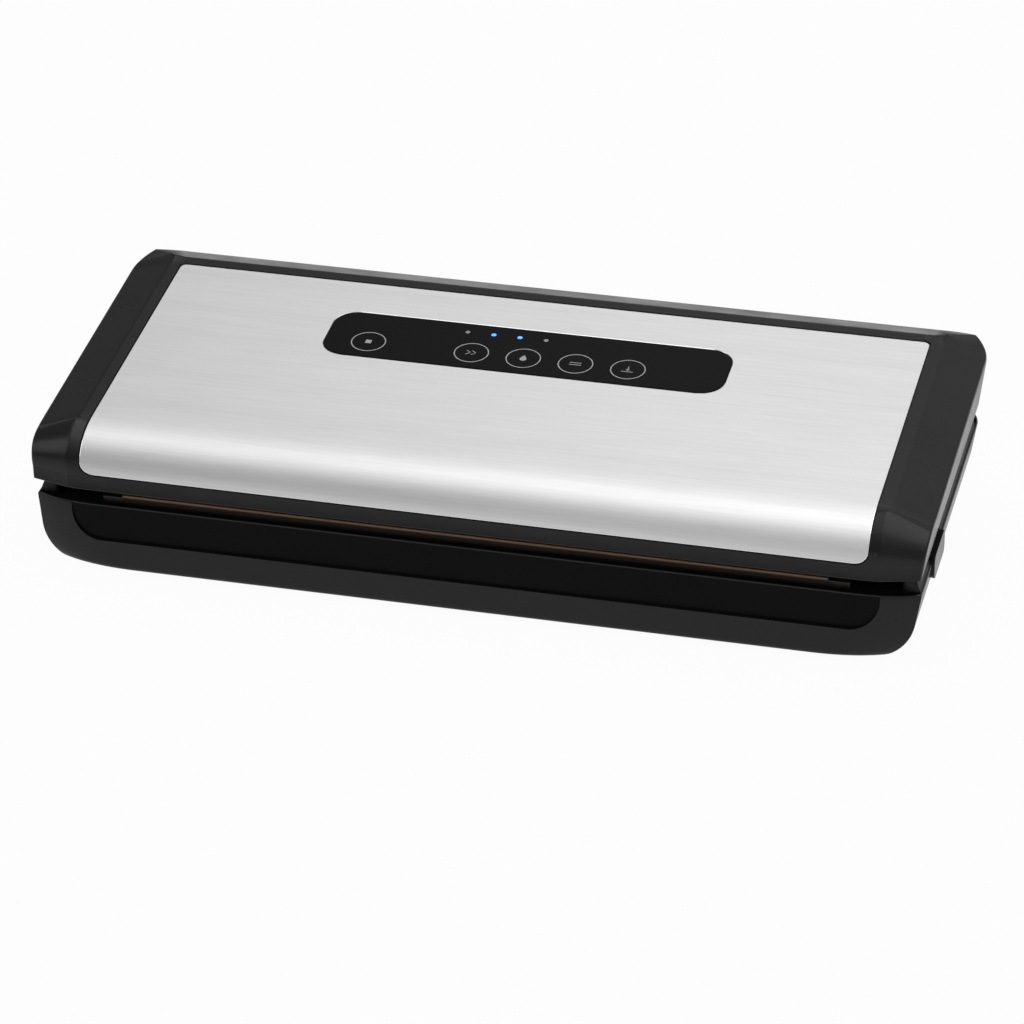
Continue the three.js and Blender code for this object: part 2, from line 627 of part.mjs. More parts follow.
// The base, moved in by an inset and open to an upper level: its ends lean in and round under, and
// its front stands out towards the foot.
function baseBody(inset, topZ) {
  const low = tubUnderside + inset;
  const radius = BASE_END_RADIUS - inset;
  const wallAt = (z) => baseHalf - inset / Math.cos(endLeanAngle) - Math.tan(endLeanAngle) * (rimZ - z);
  const tangentZ = low + radius * (1 - Math.sin(endLeanAngle));
  const middleX = wallAt(tangentZ) - radius * Math.cos(endLeanAngle);
  const ring = (half, z) => {
    const under = Math.max(BASE_EASE - (z - low), 0);
    const ease = BASE_EASE - Math.sqrt(BASE_EASE ** 2 - under ** 2);
    const outline = planOutline({
      half,
      front: baseFront - frontLean(z) + inset + ease,
      back: baseBack - inset - ease,
      corner: Math.max(BASE_CORNER_RADIUS - inset, 1),
      bow: END_SETBACK,
    });
    return { outline: cornersOf(outline, 3), level: z };
  };
  const steps = 8;
  const rings = [];
  for (let step = 0; step <= steps; step += 1) {
    const angle = (Math.PI / 2 - endLeanAngle) * (step / steps);
    rings.push(ring(middleX + radius * Math.sin(angle), low + radius * (1 - Math.cos(angle))));
  }
  rings.push(ring(wallAt(topZ), topZ));
  return loft(rings, upZ);
}

// ---------------------------------------------------------------- base tub

// The opening for a release button, through the tub's wall and the housing's.
function buttonWindow(side) {
  const inner = buttonInner - BUTTON_TRAVEL - 2;
  return sideBlock(
    side,
    [inner, latchY - BUTTON_LENGTH / 2 - GAP, buttonUnder - GAP],
    [baseHalf + 5, latchY + BUTTON_LENGTH / 2 + GAP, buttonTop + GAP],
  );
}

function scoop() {
  const foot = tubUnderside + SCOOP_FOOT;
  const ahead = baseFront - beyond;
  const outline = roundedRectangle(
    -scoopHalf, foot, scoopHalf, rimZ + SCOOP_RADIUS, SCOOP_RADIUS,
  );
  const wedge = polygon([
    [ahead, rimZ - 1], [baseFront, rimZ - 1],
    [baseFront - frontLean(foot) + SCOOP_DEPTH, foot], [ahead, foot],
  ]);
  return meet(alongY(outline, ahead, baseFront + 10), alongX(wedge, -baseHalf, baseHalf));
}

// A rib of the tub that a release spring bears on.
function springRib(side) {
  return sideBlock(
    side,
    [springInner - RIB_THICKNESS, latchY - RIB_HALF_WIDTH, tubFloor - 1],
    [springInner, latchY + RIB_HALF_WIDTH, catchUnder - GAP],
  );
}

function baseTub() {
  let tub = cut(baseBody(0, rimZ), baseBody(WALL, rimZ + 1));
  const thickening = block(
    [-scoopHalf - WALL, baseFront - beyond, tubUnderside + SCOOP_FOOT - WALL],
    [scoopHalf + WALL, baseFront + WALL + SCOOP_DEPTH, deckUnder - GAP],
  );
  tub = cut(join(tub, meet(thickening, baseBody(WALL / 2, rimZ))), scoop());
  for (const [x, y] of baseScrews) {
    tub = join(tub, rod([x, y, tubFloor - 1], [x, y, tubPostTop], POST_RADIUS, 16));
    tub = cut(
      tub,
      rod([x, y, 0], [x, y, screwSeat], SCREW_HEAD_RADIUS + GAP, 16),
      rod([x, y, 0], [x, y, tubPostTop + 1], SCREW_SHANK + GAP, 12),
    );
  }
  for (const [, side] of sides) {
    tub = cut(join(tub, springRib(side)), buttonWindow(side));
    for (const [, y] of footRows) {
      const plug = rod([side * footX, y, 0], [side * footX, y, tubFloor + 1], FOOT_PLUG_RADIUS + GAP, 14);
      tub = cut(tub, plug);
    }
  }
  for (const [x, y] of boardPosts) {
    tub = join(tub, rod([x, y, tubFloor - 1], [x, y, boardUnder - GAP], BOARD_POST_RADIUS, 12));
  }
  tub = cut(tub, rod(
    [glandX, baseBack - 10, GLAND_Z], [glandX, baseBack + 5, GLAND_Z], GLAND_RADIUS + GAP, 20,
  ));
  for (let vent = 0; vent < VENT_COUNT; vent += 1) {
    const x = MOTOR_X[0] + vent * VENT_PITCH;
    tub = cut(tub, block([x, ventBack - VENT_LENGTH, 0], [x + VENT_WIDTH, ventBack, tubFloor + 1]));
  }
  return tub;
}

// ---------------------------------------------------------------- deck

// Plan of the raised housing: a box along the rear with an arm at each end.
function housingPlan(half, inset) {
  const outer = half - inset;
  const inner = armInner + inset;
  const arm = armFront + inset;
  const front = housingFront + inset;
  const back = housingBack - inset;
  const corner = Math.max(BASE_CORNER_RADIUS - (baseHalf - half) - inset, 1);
  const shape = new THREE.Shape();
  shape.moveTo(outer, arm);
  shape.lineTo(outer, back - corner);
  shape.absarc(outer - corner, back - corner, corner, 0, Math.PI / 2, false);
  shape.lineTo(-outer + corner, back);
  shape.absarc(-outer + corner, back - corner, corner, Math.PI / 2, Math.PI, false);
  shape.lineTo(-outer, arm);
  shape.lineTo(-inner, arm);
  shape.lineTo(-inner, front);
  shape.lineTo(inner, front);
  shape.lineTo(inner, arm);
  return shape;
}

function trough(wall, low, high) {
  return block(
    [-troughHalf - wall, troughFront - wall, low],
    [troughHalf + wall, troughBack + wall, high],
  );
}

// The slim front end of an arm.
function shoulder(side, half) {
  const outline = roundedRectangle(
    side > 0 ? housingHalf - SHOULDER_WIDTH : -half, shoulderFront,
    side > 0 ? half : -housingHalf + SHOULDER_WIDTH, armFront + WALL,
    SHOULDER_WIDTH / 2 - 0.1,
  );
  return alongZ(outline, half > housingHalf ? rimZ + GAP : deckUnder, housingTop, 2);
}

// The housing's sloping sides, which stand on the tub's rim.
function flanks() {
  const edge = { ...baseEdge, back: housingBack - FLANK_FOOT_INSET, bow: END_SETBACK };
  const ring = (inset, z) => ({ outline: cornersOf(planOutline(movedIn(edge, inset)), 3), level: z });
  const slope = loft([ring(FLANK_FOOT_INSET, rimZ + GAP), ring(FLANK_TOP_INSET, housingTop)], upZ);
  const wide = join(
    alongZ(housingPlan(baseHalf, 0), rimZ + GAP, housingTop), shoulder(-1, baseHalf), shoulder(1, baseHalf),
  );
  return meet(slope, wide);
}

function hingeCheeks(side) {
  const x = side * hingeX;
  return block(
    [x - cheekOuter, hingeY - 2 * KNUCKLE_RADIUS, deckUnder],
    [x + cheekOuter, housingBack - GAP, housingTop - GAP],
  );
}

// Room for a knuckle to swing between its cheeks, open at the rear.
function hingePocket(side) {
  const x = side * hingeX;
  return block(
    [x - cheekInner, hingeY - KNUCKLE_RADIUS - KNUCKLE_SWING, hingeZ - KNUCKLE_RADIUS - KNUCKLE_SWING],
    [x + cheekInner, baseBack + 5, housingTop + 5],
  );
}

// The slot in the housing's arm that a lid hook goes down through.
function hookSlot(side) {
  const half = HOOK_WIDTH / 2 + HOOK_SLOT_ROOM;
  return sideBlock(
    side,
    [noseTip - 1, latchY - half, housingTop - WALL - 1],
    [hookX + HOOK_THICKNESS / 2 + 1, latchY + half, housingTop + 1],
  );
}

function baseDeck() {
  const plate = movedIn(baseEdge, WALL + GAP + Math.tan(endLeanAngle) * (rimZ - deckUnder));
  let deck = join(
    alongZ(planOutline(plate), deckUnder, deckTop),
    alongZ(housingPlan(housingHalf, 0), deckUnder, housingTop),
    shoulder(-1, housingHalf), shoulder(1, housingHalf), flanks(),
    trough(TROUGH_WALL, troughUnder, deckTop),
  );
  deck = cut(
    deck,
    alongZ(housingPlan(housingHalf, WALL), deckUnder - 1, housingTop - WALL),
    trough(0, troughFloor, deckTop + 1),
    rod([nozzleX, troughMiddle, 0], [nozzleX, troughMiddle, deckTop], SPOUT_RADIUS + GAP, 16),
    rod([switchX, switchY, deckTop], [switchX, switchY, lipZ], PLUNGER_RADIUS + GAP, 14),
  );
  for (const [, side] of sides) {
    const pinEnd = side * hingeX - cheekOuter + PIN_CAP;
    deck = cut(
      join(deck, hingeCheeks(side)),
      buttonWindow(side), hingePocket(side), hookSlot(side),
      rod(
        [pinEnd, hingeY, hingeZ], [pinEnd + 2 * cheekOuter, hingeY, hingeZ], PIN_RADIUS + PIN_CLEARANCE, 20,
      ),
      rod([side * leadX, leadY, 0], [side * leadX, leadY, deckTop + 1], LEAD_RADIUS + 2 * GAP, 12),
    );
  }
  for (const [x, y] of baseScrews) {
    const top = (y > housingFront ? housingTop : deckTop) - WALL / 2;
    deck = join(deck, rod([x, y, tubPostTop + GAP], [x, y, top], POST_RADIUS, 16));
    deck = cut(deck, rod([x, y, 0], [x, y, baseScrewTip + 1], SCREW_SHANK + GAP, 12));
  }
  return deck;
}

// ---------------------------------------------------------------- feet and screws

function foot() {
  return join(
    rod([0, 0, 0], [0, 0, FOOT_HEIGHT - GAP], FOOT_RADIUS - FOOT_TAPER, 24, FOOT_RADIUS),
    rod([0, 0, FOOT_HEIGHT / 2], [0, 0, tubFloor + FOOT_PLUG_RISE], FOOT_PLUG_RADIUS, 14),
  );
}

// A pan-head screw that points up, with its head's upper face at the height given.
function screw([x, y], headTop, tip) {
  return join(
    rod([x, y, headTop - SCREW_HEAD_HEIGHT], [x, y, headTop], SCREW_HEAD_RADIUS, 16),
    rod([x, y, headTop - SCREW_HEAD_HEIGHT / 2], [x, y, tip], SCREW_SHANK, 12),
  );
}

// ---------------------------------------------------------------- seal bar and gaskets

function sealBar() {
  let bar = block([-barHalf, barFront, barUnder], [barHalf, barBack, barTop]);
  for (const [, side] of sides) {
    const tail = rod([side * leadX, leadY, 0], [side * leadX, leadY, barTop + 1], LEAD_RADIUS + 3 * GAP, 12);
    bar = cut(bar, tail);
  }
  return bar;
}

function heatingWire() {
  const half = WIRE_WIDTH / 2;
  const under = barTop + GAP;
  let wire = block([-leadX - half, leadY - half, under], [leadX + half, leadY + half, wireTop]);
  for (const [, side] of sides) {
    const at = (z) => [side * leadX, leadY, z];
    wire = join(wire, rod(at(deckUnder), at(under + WIRE_THICKNESS / 2), LEAD_RADIUS, 10));
  }
  return wire;
}

function ptfeTape() {
  const under = wireTop + GAP;
  const end = leadX - TAPE_FROM_TAIL;
  const flapFoot = barUnder + BAR_HEIGHT / 2;
  const [insideFront, insideBack] = [barFront - GAP, barBack + GAP];
  return cut(
    block(
      [-end, insideFront - TAPE_THICKNESS, flapFoot],
      [end, insideBack + TAPE_THICKNESS, under + TAPE_THICKNESS],
    ),
    block([-end - 1, insideFront, flapFoot - 1], [end + 1, insideBack, under]),
  );
}

function gasketRing(low, high) {
  const ring = (grow, radius) => roundedRectangle(
    -troughHalf - grow, troughFront - grow, troughHalf + grow, troughBack + grow, radius,
  );
  const innerRadius = 3;
  return cut(
    alongZ(ring(gasketReach, GASKET_WIDTH + innerRadius), low, high),
    alongZ(ring(GASKET_FROM_TROUGH, innerRadius), low - 1, high + 1, 2),
  );
}

// The silicone strip in the lid that presses the bag on the seal bar.
function pressStrip() {
  const top = linerUnder - GAP;
  return block([-barHalf, barFront, top - PRESS_STRIP_HEIGHT], [barHalf, barBack, top]);
}

// ---------------------------------------------------------------- latches

// Button, catch, spring and hook are drawn for the right-hand side and mirrored to the left.
function releaseButton() {
  const [front, back] = [latchY - BUTTON_LENGTH / 2, latchY + BUTTON_LENGTH / 2];
  const face = alongX(
    roundedRectangle(front, buttonUnder, back, buttonTop, BUTTON_RADIUS), baseHalf - WALL, buttonFace, 3,
  );
  const plate = block(
    [buttonInner + GAP, front + BUTTON_BACK_INSET, buttonUnder + BUTTON_BACK_INSET],
    [baseHalf - WALL + 1, back - BUTTON_BACK_INSET, buttonTop],
  );
  return join(face, plate);
}

function latchCatch() {
  const half = HOOK_WIDTH / 2 + CATCH_TONGUE;
  const room = HOOK_WIDTH / 2 + 1;
  const tongue = noseTip + CATCH_OVERLAP;
  return cut(
    block([tongue - CATCH_TONGUE, latchY - half, catchUnder], [buttonInner, latchY + half, catchTop]),
    block(
      [tongue, latchY - room, catchUnder - 1],
      [hookX + HOOK_THICKNESS / 2 + HOOK_SLOT_ROOM, latchY + room, catchTop + 1],
    ),
  );
}

function lidHook() {
  const [front, back] = [latchY - HOOK_WIDTH / 2, latchY + HOOK_WIDTH / 2];
  const flangeTop = linerUnder - GAP;
  const inner = hookX - HOOK_THICKNESS / 2;
  const outer = hookX + HOOK_THICKNESS / 2;
  const shank = polygon([
    [inner, flangeTop - HOOK_FLANGE / 2], [inner, noseUnder + HOOK_NOSE_HEIGHT + 1],
    [noseTip, noseUnder + HOOK_NOSE_HEIGHT], [noseTip, noseUnder + HOOK_NOSE_HEIGHT / 2],
    [noseTip + HOOK_NOSE / 2, noseUnder], [outer, noseUnder], [outer, flangeTop - HOOK_FLANGE / 2],
  ]);
  const flange = block(
    [inner - HOOK_FLANGE_EDGE, front - HOOK_FLANGE_EDGE, flangeTop - HOOK_FLANGE],
    [outer + HOOK_FLANGE_EDGE, back + HOOK_FLANGE_EDGE, flangeTop],
  );
  return join(alongY(shank, front, back), flange);
}

class Coil extends THREE.Curve {
  constructor(start, length, radius, turns) {
    super();
    Object.assign(this, { start, length, radius, turns });
  }

  getPoint(t, target = new THREE.Vector3()) {
    const angle = 2 * Math.PI * this.turns * t;
    return target.set(
      this.start + this.length * t,
      latchY + this.radius * Math.cos(angle),
      springZ + this.radius * Math.sin(angle),
    );
  }
}

function circle(radius, bore = 0) {
  const section = new THREE.Shape();
  section.absarc(0, 0, radius, 0, Math.PI * 2, false);
  if (bore > 0) {
    const hole = new THREE.Path();
    hole.absarc(0, 0, bore, 0, Math.PI * 2, true);
    section.holes.push(hole);
  }
  return section;
}

function alongCurve(section, extrudePath, steps, curveSegments = 3) {
  const geometry = new THREE.ExtrudeGeometry(
    section, { extrudePath, steps, bevelEnabled: false, curveSegments },
  );
  return solid(geometry);
}

function releaseSpring() {
  const end = GAP + SPRING_WIRE;
  const start = springInner + end;
  const coil = new Coil(start, buttonInner + GAP - end - start, SPRING_RADIUS, SPRING_TURNS);
  return alongCurve(circle(SPRING_WIRE), coil, SPRING_TURNS * 8);
}

// A smooth route through points given as X, Y and Z.
function route(points) {
  return new THREE.CatmullRomCurve3(points.map((p) => new THREE.Vector3(...p)), false, 'centripetal');
}

// ---------------------------------------------------------------- pump

const shaftAt = (x, lift = 0) => [x, pumpY, PUMP_Z + lift];

function pumpBracket() {
  const low = tubFloor + GAP;
  const top = low + BRACKET_THICKNESS;
  const half = HEAD_HALF_DEPTH + 2;
  let bracket = block([MOTOR_X[0] - 3, pumpY - half, low], [HEAD_X[1] + 2, pumpY + half, top]);
  const cradle = MOTOR_RADIUS + WALL;
  for (const x of [MOTOR_X[0] + CRADLE_INSETS[0], MOTOR_X[1] - CRADLE_INSETS[1]]) {
    const saddle = block([x, pumpY - cradle, low], [x + CRADLE_THICKNESS, pumpY + cradle, PUMP_Z - 1]);
    bracket = join(bracket, saddle);
  }
  return cut(bracket, rod(shaftAt(MOTOR_X[0] - 9), shaftAt(MOTOR_X[1] + 5), MOTOR_RADIUS + GAP, 28));
}

function pumpMotor() {
  const bossRadius = 4;
  const motor = join(
    rod(shaftAt(MOTOR_X[0]), shaftAt(MOTOR_X[1]), MOTOR_RADIUS, 28),
    rod(shaftAt(MOTOR_X[1] - 1), shaftAt(MOTOR_X[1] + MOTOR_BOSS), bossRadius, 16),
    block([MOTOR_X[0] - 2, pumpY - 6, PUMP_Z - 1], [MOTOR_X[0] + 1, pumpY + 6, PUMP_Z + 1]),
  );
  const bore = rod(
    shaftAt(MOTOR_X[1] - SHAFT_SEAT - 1), shaftAt(MOTOR_X[1] + 5), SHAFT_RADIUS + PIN_CLEARANCE, 16,
  );
  return cut(motor, bore);
}

function motorShaft() {
  const middle = (MOTOR_X[1] + MOTOR_BOSS + HEAD_X[0]) / 2;
  const disc = [middle - ECCENTRIC_WIDTH / 2, middle + ECCENTRIC_WIDTH / 2];
  const [low, high] = disc.map((x) => shaftAt(x, ECCENTRIC_OFFSET));
  return join(
    rod(shaftAt(MOTOR_X[1] - SHAFT_SEAT), shaftAt(HEAD_X[0] + SHAFT_SEAT - 1), SHAFT_RADIUS, 16),
    rod(low, high, ECCENTRIC_RADIUS, 20),
  );
}

function pumpHead() {
  const low = tubFloor + BRACKET_THICKNESS + 2 * GAP;
  const top = PUMP_Z + HEAD_RISE;
  const body = join(
    block([HEAD_X[0], headFront, low], [HEAD_X[1], pumpY + HEAD_HALF_DEPTH, top]),
    rod([spoutX, pumpY, top - 1], [spoutX, pumpY, PUMP_Z + CAP_RISE], CAP_RADIUS, 24),
    rod([spoutX, headFront - SPOUT_LENGTH, spoutZ], [spoutX, headFront + 1, spoutZ], SPOUT_RADIUS, 14),
  );
  const bore = rod(shaftAt(HEAD_X[0] - 1), shaftAt(HEAD_X[0] + SHAFT_SEAT), SHAFT_RADIUS + PIN_CLEARANCE, 16);
  return cut(body, bore);
}

// The intake stands in the trough, and its tail goes down through the floor into the hose.
function vacuumNozzle() {
  const seat = troughFloor + GAP;
  const at = (z) => [nozzleX, troughMiddle, z];
  const tail = troughUnder - NOZZLE_TAIL;
  const body = join(
    rod(at(seat), at(seat + 1.6), NOZZLE_FLANGE, 20), rod(at(tail), at(seat + NOZZLE_RISE), SPOUT_RADIUS, 16),
  );
  return cut(body, rod(at(tail - 1), at(seat + NOZZLE_RISE + 1), NOZZLE_BORE, 12));
}

function vacuumHose() {
  const top = troughUnder - GAP;
  const flat = tubFloor + HOSE_RADIUS + 1;
  return alongCurve(circle(HOSE_RADIUS, HOSE_BORE), route([
    [nozzleX, troughMiddle, top],
    [nozzleX, troughMiddle, top - NOZZLE_TAIL],
    [nozzleX - 1, troughMiddle + 2, flat + 2.4],
    [nozzleX - 3, troughMiddle + 6, flat + 0.5],
    [nozzleX - 8, troughMiddle + 13, flat],
    [nozzleX - 22, troughMiddle + 26, flat],
    [spoutX + 20, headFront - 22, flat + 0.4],
    [spoutX + 4, headFront - 16, flat + 1.6],
    [spoutX, headFront - SPOUT_LENGTH - 2, spoutZ],
    [spoutX, headFront - SPOUT_LENGTH / 2, spoutZ],
    [spoutX, headFront - GAP, spoutZ],
  ]), 22, 4);
}

// ---------------------------------------------------------------- electrics in the base

function transformer() {
  const low = tubFloor + GAP;
  const [x0, x1] = TRANSFORMER_X;
  const [y0, y1] = [transformerFront, transformerFront + TRANSFORMER_DEPTH];
  const middle = (y0 + y1) / 2;
  return join(
    block([x0, y0, low], [x1, y1, low + TRANSFORMER_HEIGHT]),
    block(
      [x0 + COIL_INSET, y0 - COIL_PROUD, low + 5],
      [x1 - COIL_INSET, y1 + COIL_PROUD, low + TRANSFORMER_HEIGHT - 5],
    ),
    block([x0 - 8, middle - 7, low], [x1 + 8, middle + 7, low + 2]),
  );
}

// The board with its relay, capacitors, heat sink and two terminals.
function powerBoard() {
  const top = boardUnder + BOARD_THICKNESS;
  const [left, front] = [BOARD_X[0], boardY[0]];
  const component = ({ corner: [x, y], size: [width, length, height] }) => block(
    [left + x, front + y, top - SOLDER], [left + x + width, front + y + length, top + height],
  );
  const can = (height) => [left + CAPACITOR.middle[0], front + CAPACITOR.middle[1], top + height];
  const terminals = boardTerminals.map((x) => block(
    [x - TERMINAL[0] / 2, front, top - SOLDER],
    [x + TERMINAL[0] / 2, front + TERMINAL[1], top + TERMINAL[2]],
  ));
  return join(
    block([left, front, boardUnder], [BOARD_X[1], boardY[1], top]),
    component(RELAY), component(FILM_CAPACITOR), component(HEAT_SINK),
    rod(can(-SOLDER), can(CAPACITOR.height), CAPACITOR.radius, 18),
    ...terminals,
  );
}

// A lead from the power board to one end of the heating wire, under the trough and up.
function heaterLead(side) {
  const start = boardTerminals[side < 0 ? 0 : 1];
  const top = deckUnder - GAP;
  const flat = tubFloor + 3;
  return alongCurve(circle(LEAD_RADIUS), route([
    [start, boardY[0] - GAP, boardUnder + 4],
    [start, boardY[0] - 8, boardUnder + 3],
    [start + side * 8, troughBack + 3, flat + 1],
    [side * (leadX - 89), troughFront + 2, flat],
    [side * (leadX - 47), troughFront - 7, flat],
    [side * (leadX - 9), leadY + 4, flat + 2],
    [side * (leadX - 1), leadY, flat + 8],
    [side * leadX, leadY, top - 6],
    [side * leadX, leadY, top],
  ]), 26);
}

function lidSwitch() {
  const [length, width, height] = SWITCH_BODY;
  const body = block(
    [switchX - length / 2, switchY - width / 2, switchTop - height],
    [switchX + length / 2, switchY + width / 2, switchTop],
  );
  const at = (z) => [switchX, switchY, z];
  return cut(body, rod(at(switchTop - SWITCH_DEPTH), at(switchTop + 1), PLUNGER_RADIUS + GAP, 14));
}

function switchPlunger() {
  const foot = switchTop - SWITCH_DEPTH + GAP + SWITCH_TRAVEL;
  return rod([switchX, switchY, foot], [switchX, switchY, plungerTop], PLUNGER_RADIUS, 14);
}

function cordGland() {
  const outer = baseBack + GAP;
  const inner = baseBack - WALL - GAP;
  const at = (y) => [glandX, y, GLAND_Z];
  const body = join(
    rod(at(outer), at(lidBack - GAP), GLAND_RADIUS + GLAND_FLANGE, 24),
    rod(at(inner - GLAND_TAIL), at(outer + 1), GLAND_RADIUS, 20),
    rod(at(inner - 2), at(inner), GLAND_RADIUS + 2, 20),
  );
  return cut(body, rod(at(inner - GLAND_TAIL - 1), at(lidBack + 1), GLAND_BORE, 18));
}

// ---------------------------------------------------------------- lid

// The field of the steel cover, from its rounded plan at the back and its rounded foot at the front.
function panelField(grow) {
  const half = panelHalf + grow;
  const ahead = lidFront - 10;
  const plan = roundedRectangle(-half, ahead, half, panelBack + grow, PANEL_REAR_CORNER + grow);
  const foot = roundedRectangle(-half, panelFoot - grow, half, above, PANEL_FRONT_CORNER + grow);
  return meet(alongZ(plan, lipZ - 1, above, 2), alongY(foot, ahead, lidBack, 2));
}

// The frame of reference that lies on the steel cover, in the middle of the control strip.
const stripY = lidBack - STRIP_FROM_BACK - STRIP_LENGTH / 2;
const stripZ = lidTopAt(stripY, PANEL_INSET);
const onStrip = new THREE.Matrix4().makeRotationX(slopeAngle).setPosition(0, stripY, stripZ);

function laidOnStrip(geometry) {
  return solid(geometry.applyMatrix4(onStrip));
}

function stripBlock([x0, y0, z0], [x1, y1, z1]) {
  const geometry = new THREE.BoxGeometry(x1 - x0, y1 - y0, z1 - z0);
  return laidOnStrip(geometry.translate((x0 + x1) / 2, (y0 + y1) / 2, (z0 + z1) / 2));
}

function stripPlate(grow, low, high) {
  const halfWidth = STRIP_WIDTH / 2 + grow;
  const halfLength = STRIP_LENGTH / 2 + grow;
  const outline = roundedRectangle(-halfWidth, -halfLength, halfWidth, halfLength, STRIP_RADIUS + grow);
  return laidOnStrip(extrude(outline, high - low, 3).translate(0, 0, low));
}

function stripRod(x, y, low, high, radius, count = 24) {
  const geometry = new THREE.CylinderGeometry(radius, radius, high - low, count);
  return laidOnStrip(geometry.rotateX(Math.PI / 2).translate(x, y, (low + high) / 2));
}

function lidFrame() {
  const margin = 3;
  const panelZone = block(
    [-panelHalf - margin, lidFront - 5, linerTop + 1],
    [panelHalf + margin, panelBack + margin, above],
  );
  const shallow = lidBody(WALL, lipZ - 1);
  const deep = lidBody(shellUnderPanel, lipZ - 1);
  let frame = cut(lidBody(0, lipZ), join(cut(shallow, panelZone), deep));
  for (const [x, y] of lidScrews) {
    const post = rod([x, y, linerTop + GAP], [x, y, above], POST_RADIUS, 16);
    frame = join(frame, meet(post, lidBody(WALL / 2, lipZ)));
    frame = cut(frame, rod([x, y, lipZ], [x, y, lidScrewTip + 1], SCREW_SHANK + GAP, 12));
  }
  const [boardHalfWidth, boardHalfLength] = CONTROL_BOARD_HALF;
  for (const x of [-boardHalfWidth + 4, boardHalfWidth - 4]) {
    for (const y of [-boardHalfLength + 3, boardHalfLength - 3]) {
      frame = join(frame, stripRod(x, y, controlBoardTop + GAP, lidCeiling + 1, 2, 12));
    }
  }
  const outside = cut(
    block([-lidHalf, lidFront - 5, lipZ - 2], [lidHalf, lidBack, above]),
    alongX(lidProfile(recessDepth, lipZ - 3), -lidHalf - 1, lidHalf + 1),
  );
  const trayHole = stripBlock(
    [-trayHalf[0] - GAP, -trayHalf[1] - GAP, lidCeiling - 2], [trayHalf[0] + GAP, trayHalf[1] + GAP, 3],
  );
  return cut(frame, meet(outside, panelField(GAP)), trayHole);
}

function steelPanel() {
  const skin = cut(
    alongX(lidProfile(PANEL_INSET, lipZ - 3), -lidHalf, lidHalf),
    alongX(lidProfile(PANEL_INSET + PANEL_THICKNESS, lipZ - 4), -lidHalf - 1, lidHalf + 1),
  );
  return cut(meet(skin, panelField(0)), stripPlate(GAP, -3, 3));
}

// The lid's inner plate, with the chamber over the trough and the two hinge knuckles.
function lidLiner() {
  const edge = {
    half: lidHalf - lidWallInset,
    front: lidFront + shellUnderPanel + LID_LIP_LEAN + GAP,
    back: lidBack - lidWallInset,
    corner: LID_CORNER_RADIUS - lidWallInset,
    bow: END_SETBACK,
  };
  const dome = linerTop + DOME_RISE;
  let liner = join(alongZ(planOutline(edge), linerUnder, linerTop), trough(LINER_WALL, linerUnder, dome));
  liner = cut(liner, trough(0, linerUnder - 1, dome - LINER_WALL));
  const half = KNUCKLE_WIDTH / 2;
  for (const [, side] of sides) {
    const x = side * hingeX;
    const at = (reach) => [x + reach, hingeY, hingeZ];
    const web = block(
      [x - half, hingeY - KNUCKLE_RADIUS, hingeZ],
      [x + half, hingeY + KNUCKLE_RADIUS - KNUCKLE_SWING, linerUnder + 1],
    );
    liner = join(liner, rod(at(-half), at(half), KNUCKLE_RADIUS, 24), web);
    liner = cut(liner, rod(at(-half - 1), at(half + 1), PIN_RADIUS + PIN_CLEARANCE, 20));
  }
  for (const [x, y] of lidScrews) {
    liner = cut(liner, rod([x, y, lipZ], [x, y, linerTop + 1], SCREW_SHANK + GAP, 12));
  }
  return liner;
}

// ---------------------------------------------------------------- controls

const keys = [
  ['stop_key', FIRST_KEY_FROM_END - STRIP_WIDTH / 2],
  ['speed_key', SECOND_KEY_X],
  ['food_key', SECOND_KEY_X + KEY_PITCH],
  ['seal_key', SECOND_KEY_X + 2 * KEY_PITCH],
  ['vacuum_seal_key', SECOND_KEY_X + 3 * KEY_PITCH],
];
const lamps = [0, 1, 2, 3].map((n) => LED_FIRST_X + n * LED_PITCH);

function controlStrip() {
  const overlap = 0.4;
  let strip = join(
    stripPlate(0, -PANEL_THICKNESS, STRIP_PROUD),
    stripBlock([-trayHalf[0], -trayHalf[1], trayUnder], [trayHalf[0], trayHalf[1], -overlap]),
  );
  const [low, high] = [trayUnder - 1, STRIP_PROUD + 1];
  for (const [, x] of keys) strip = cut(strip, stripRod(x, KEY_ROW, low, high, KEY_RADIUS + GAP, 24));
  for (const x of lamps) strip = cut(strip, stripRod(x, LED_ROW, low, high, LED_RADIUS + GAP, 10));
  return strip;
}

function key(x) {
  return join(
    stripRod(x, KEY_ROW, trayUnder + KEY_TRAVEL + 0.2, STRIP_PROUD + KEY_PROUD, KEY_RADIUS, 24),
    stripRod(x, KEY_ROW, keyFoot, 0, KEY_STEM_RADIUS, 12),
  );
}

function lamp(x) {
  return stripRod(x, LED_ROW, trayUnder, STRIP_PROUD + LED_PROUD, LED_RADIUS, 10);
}

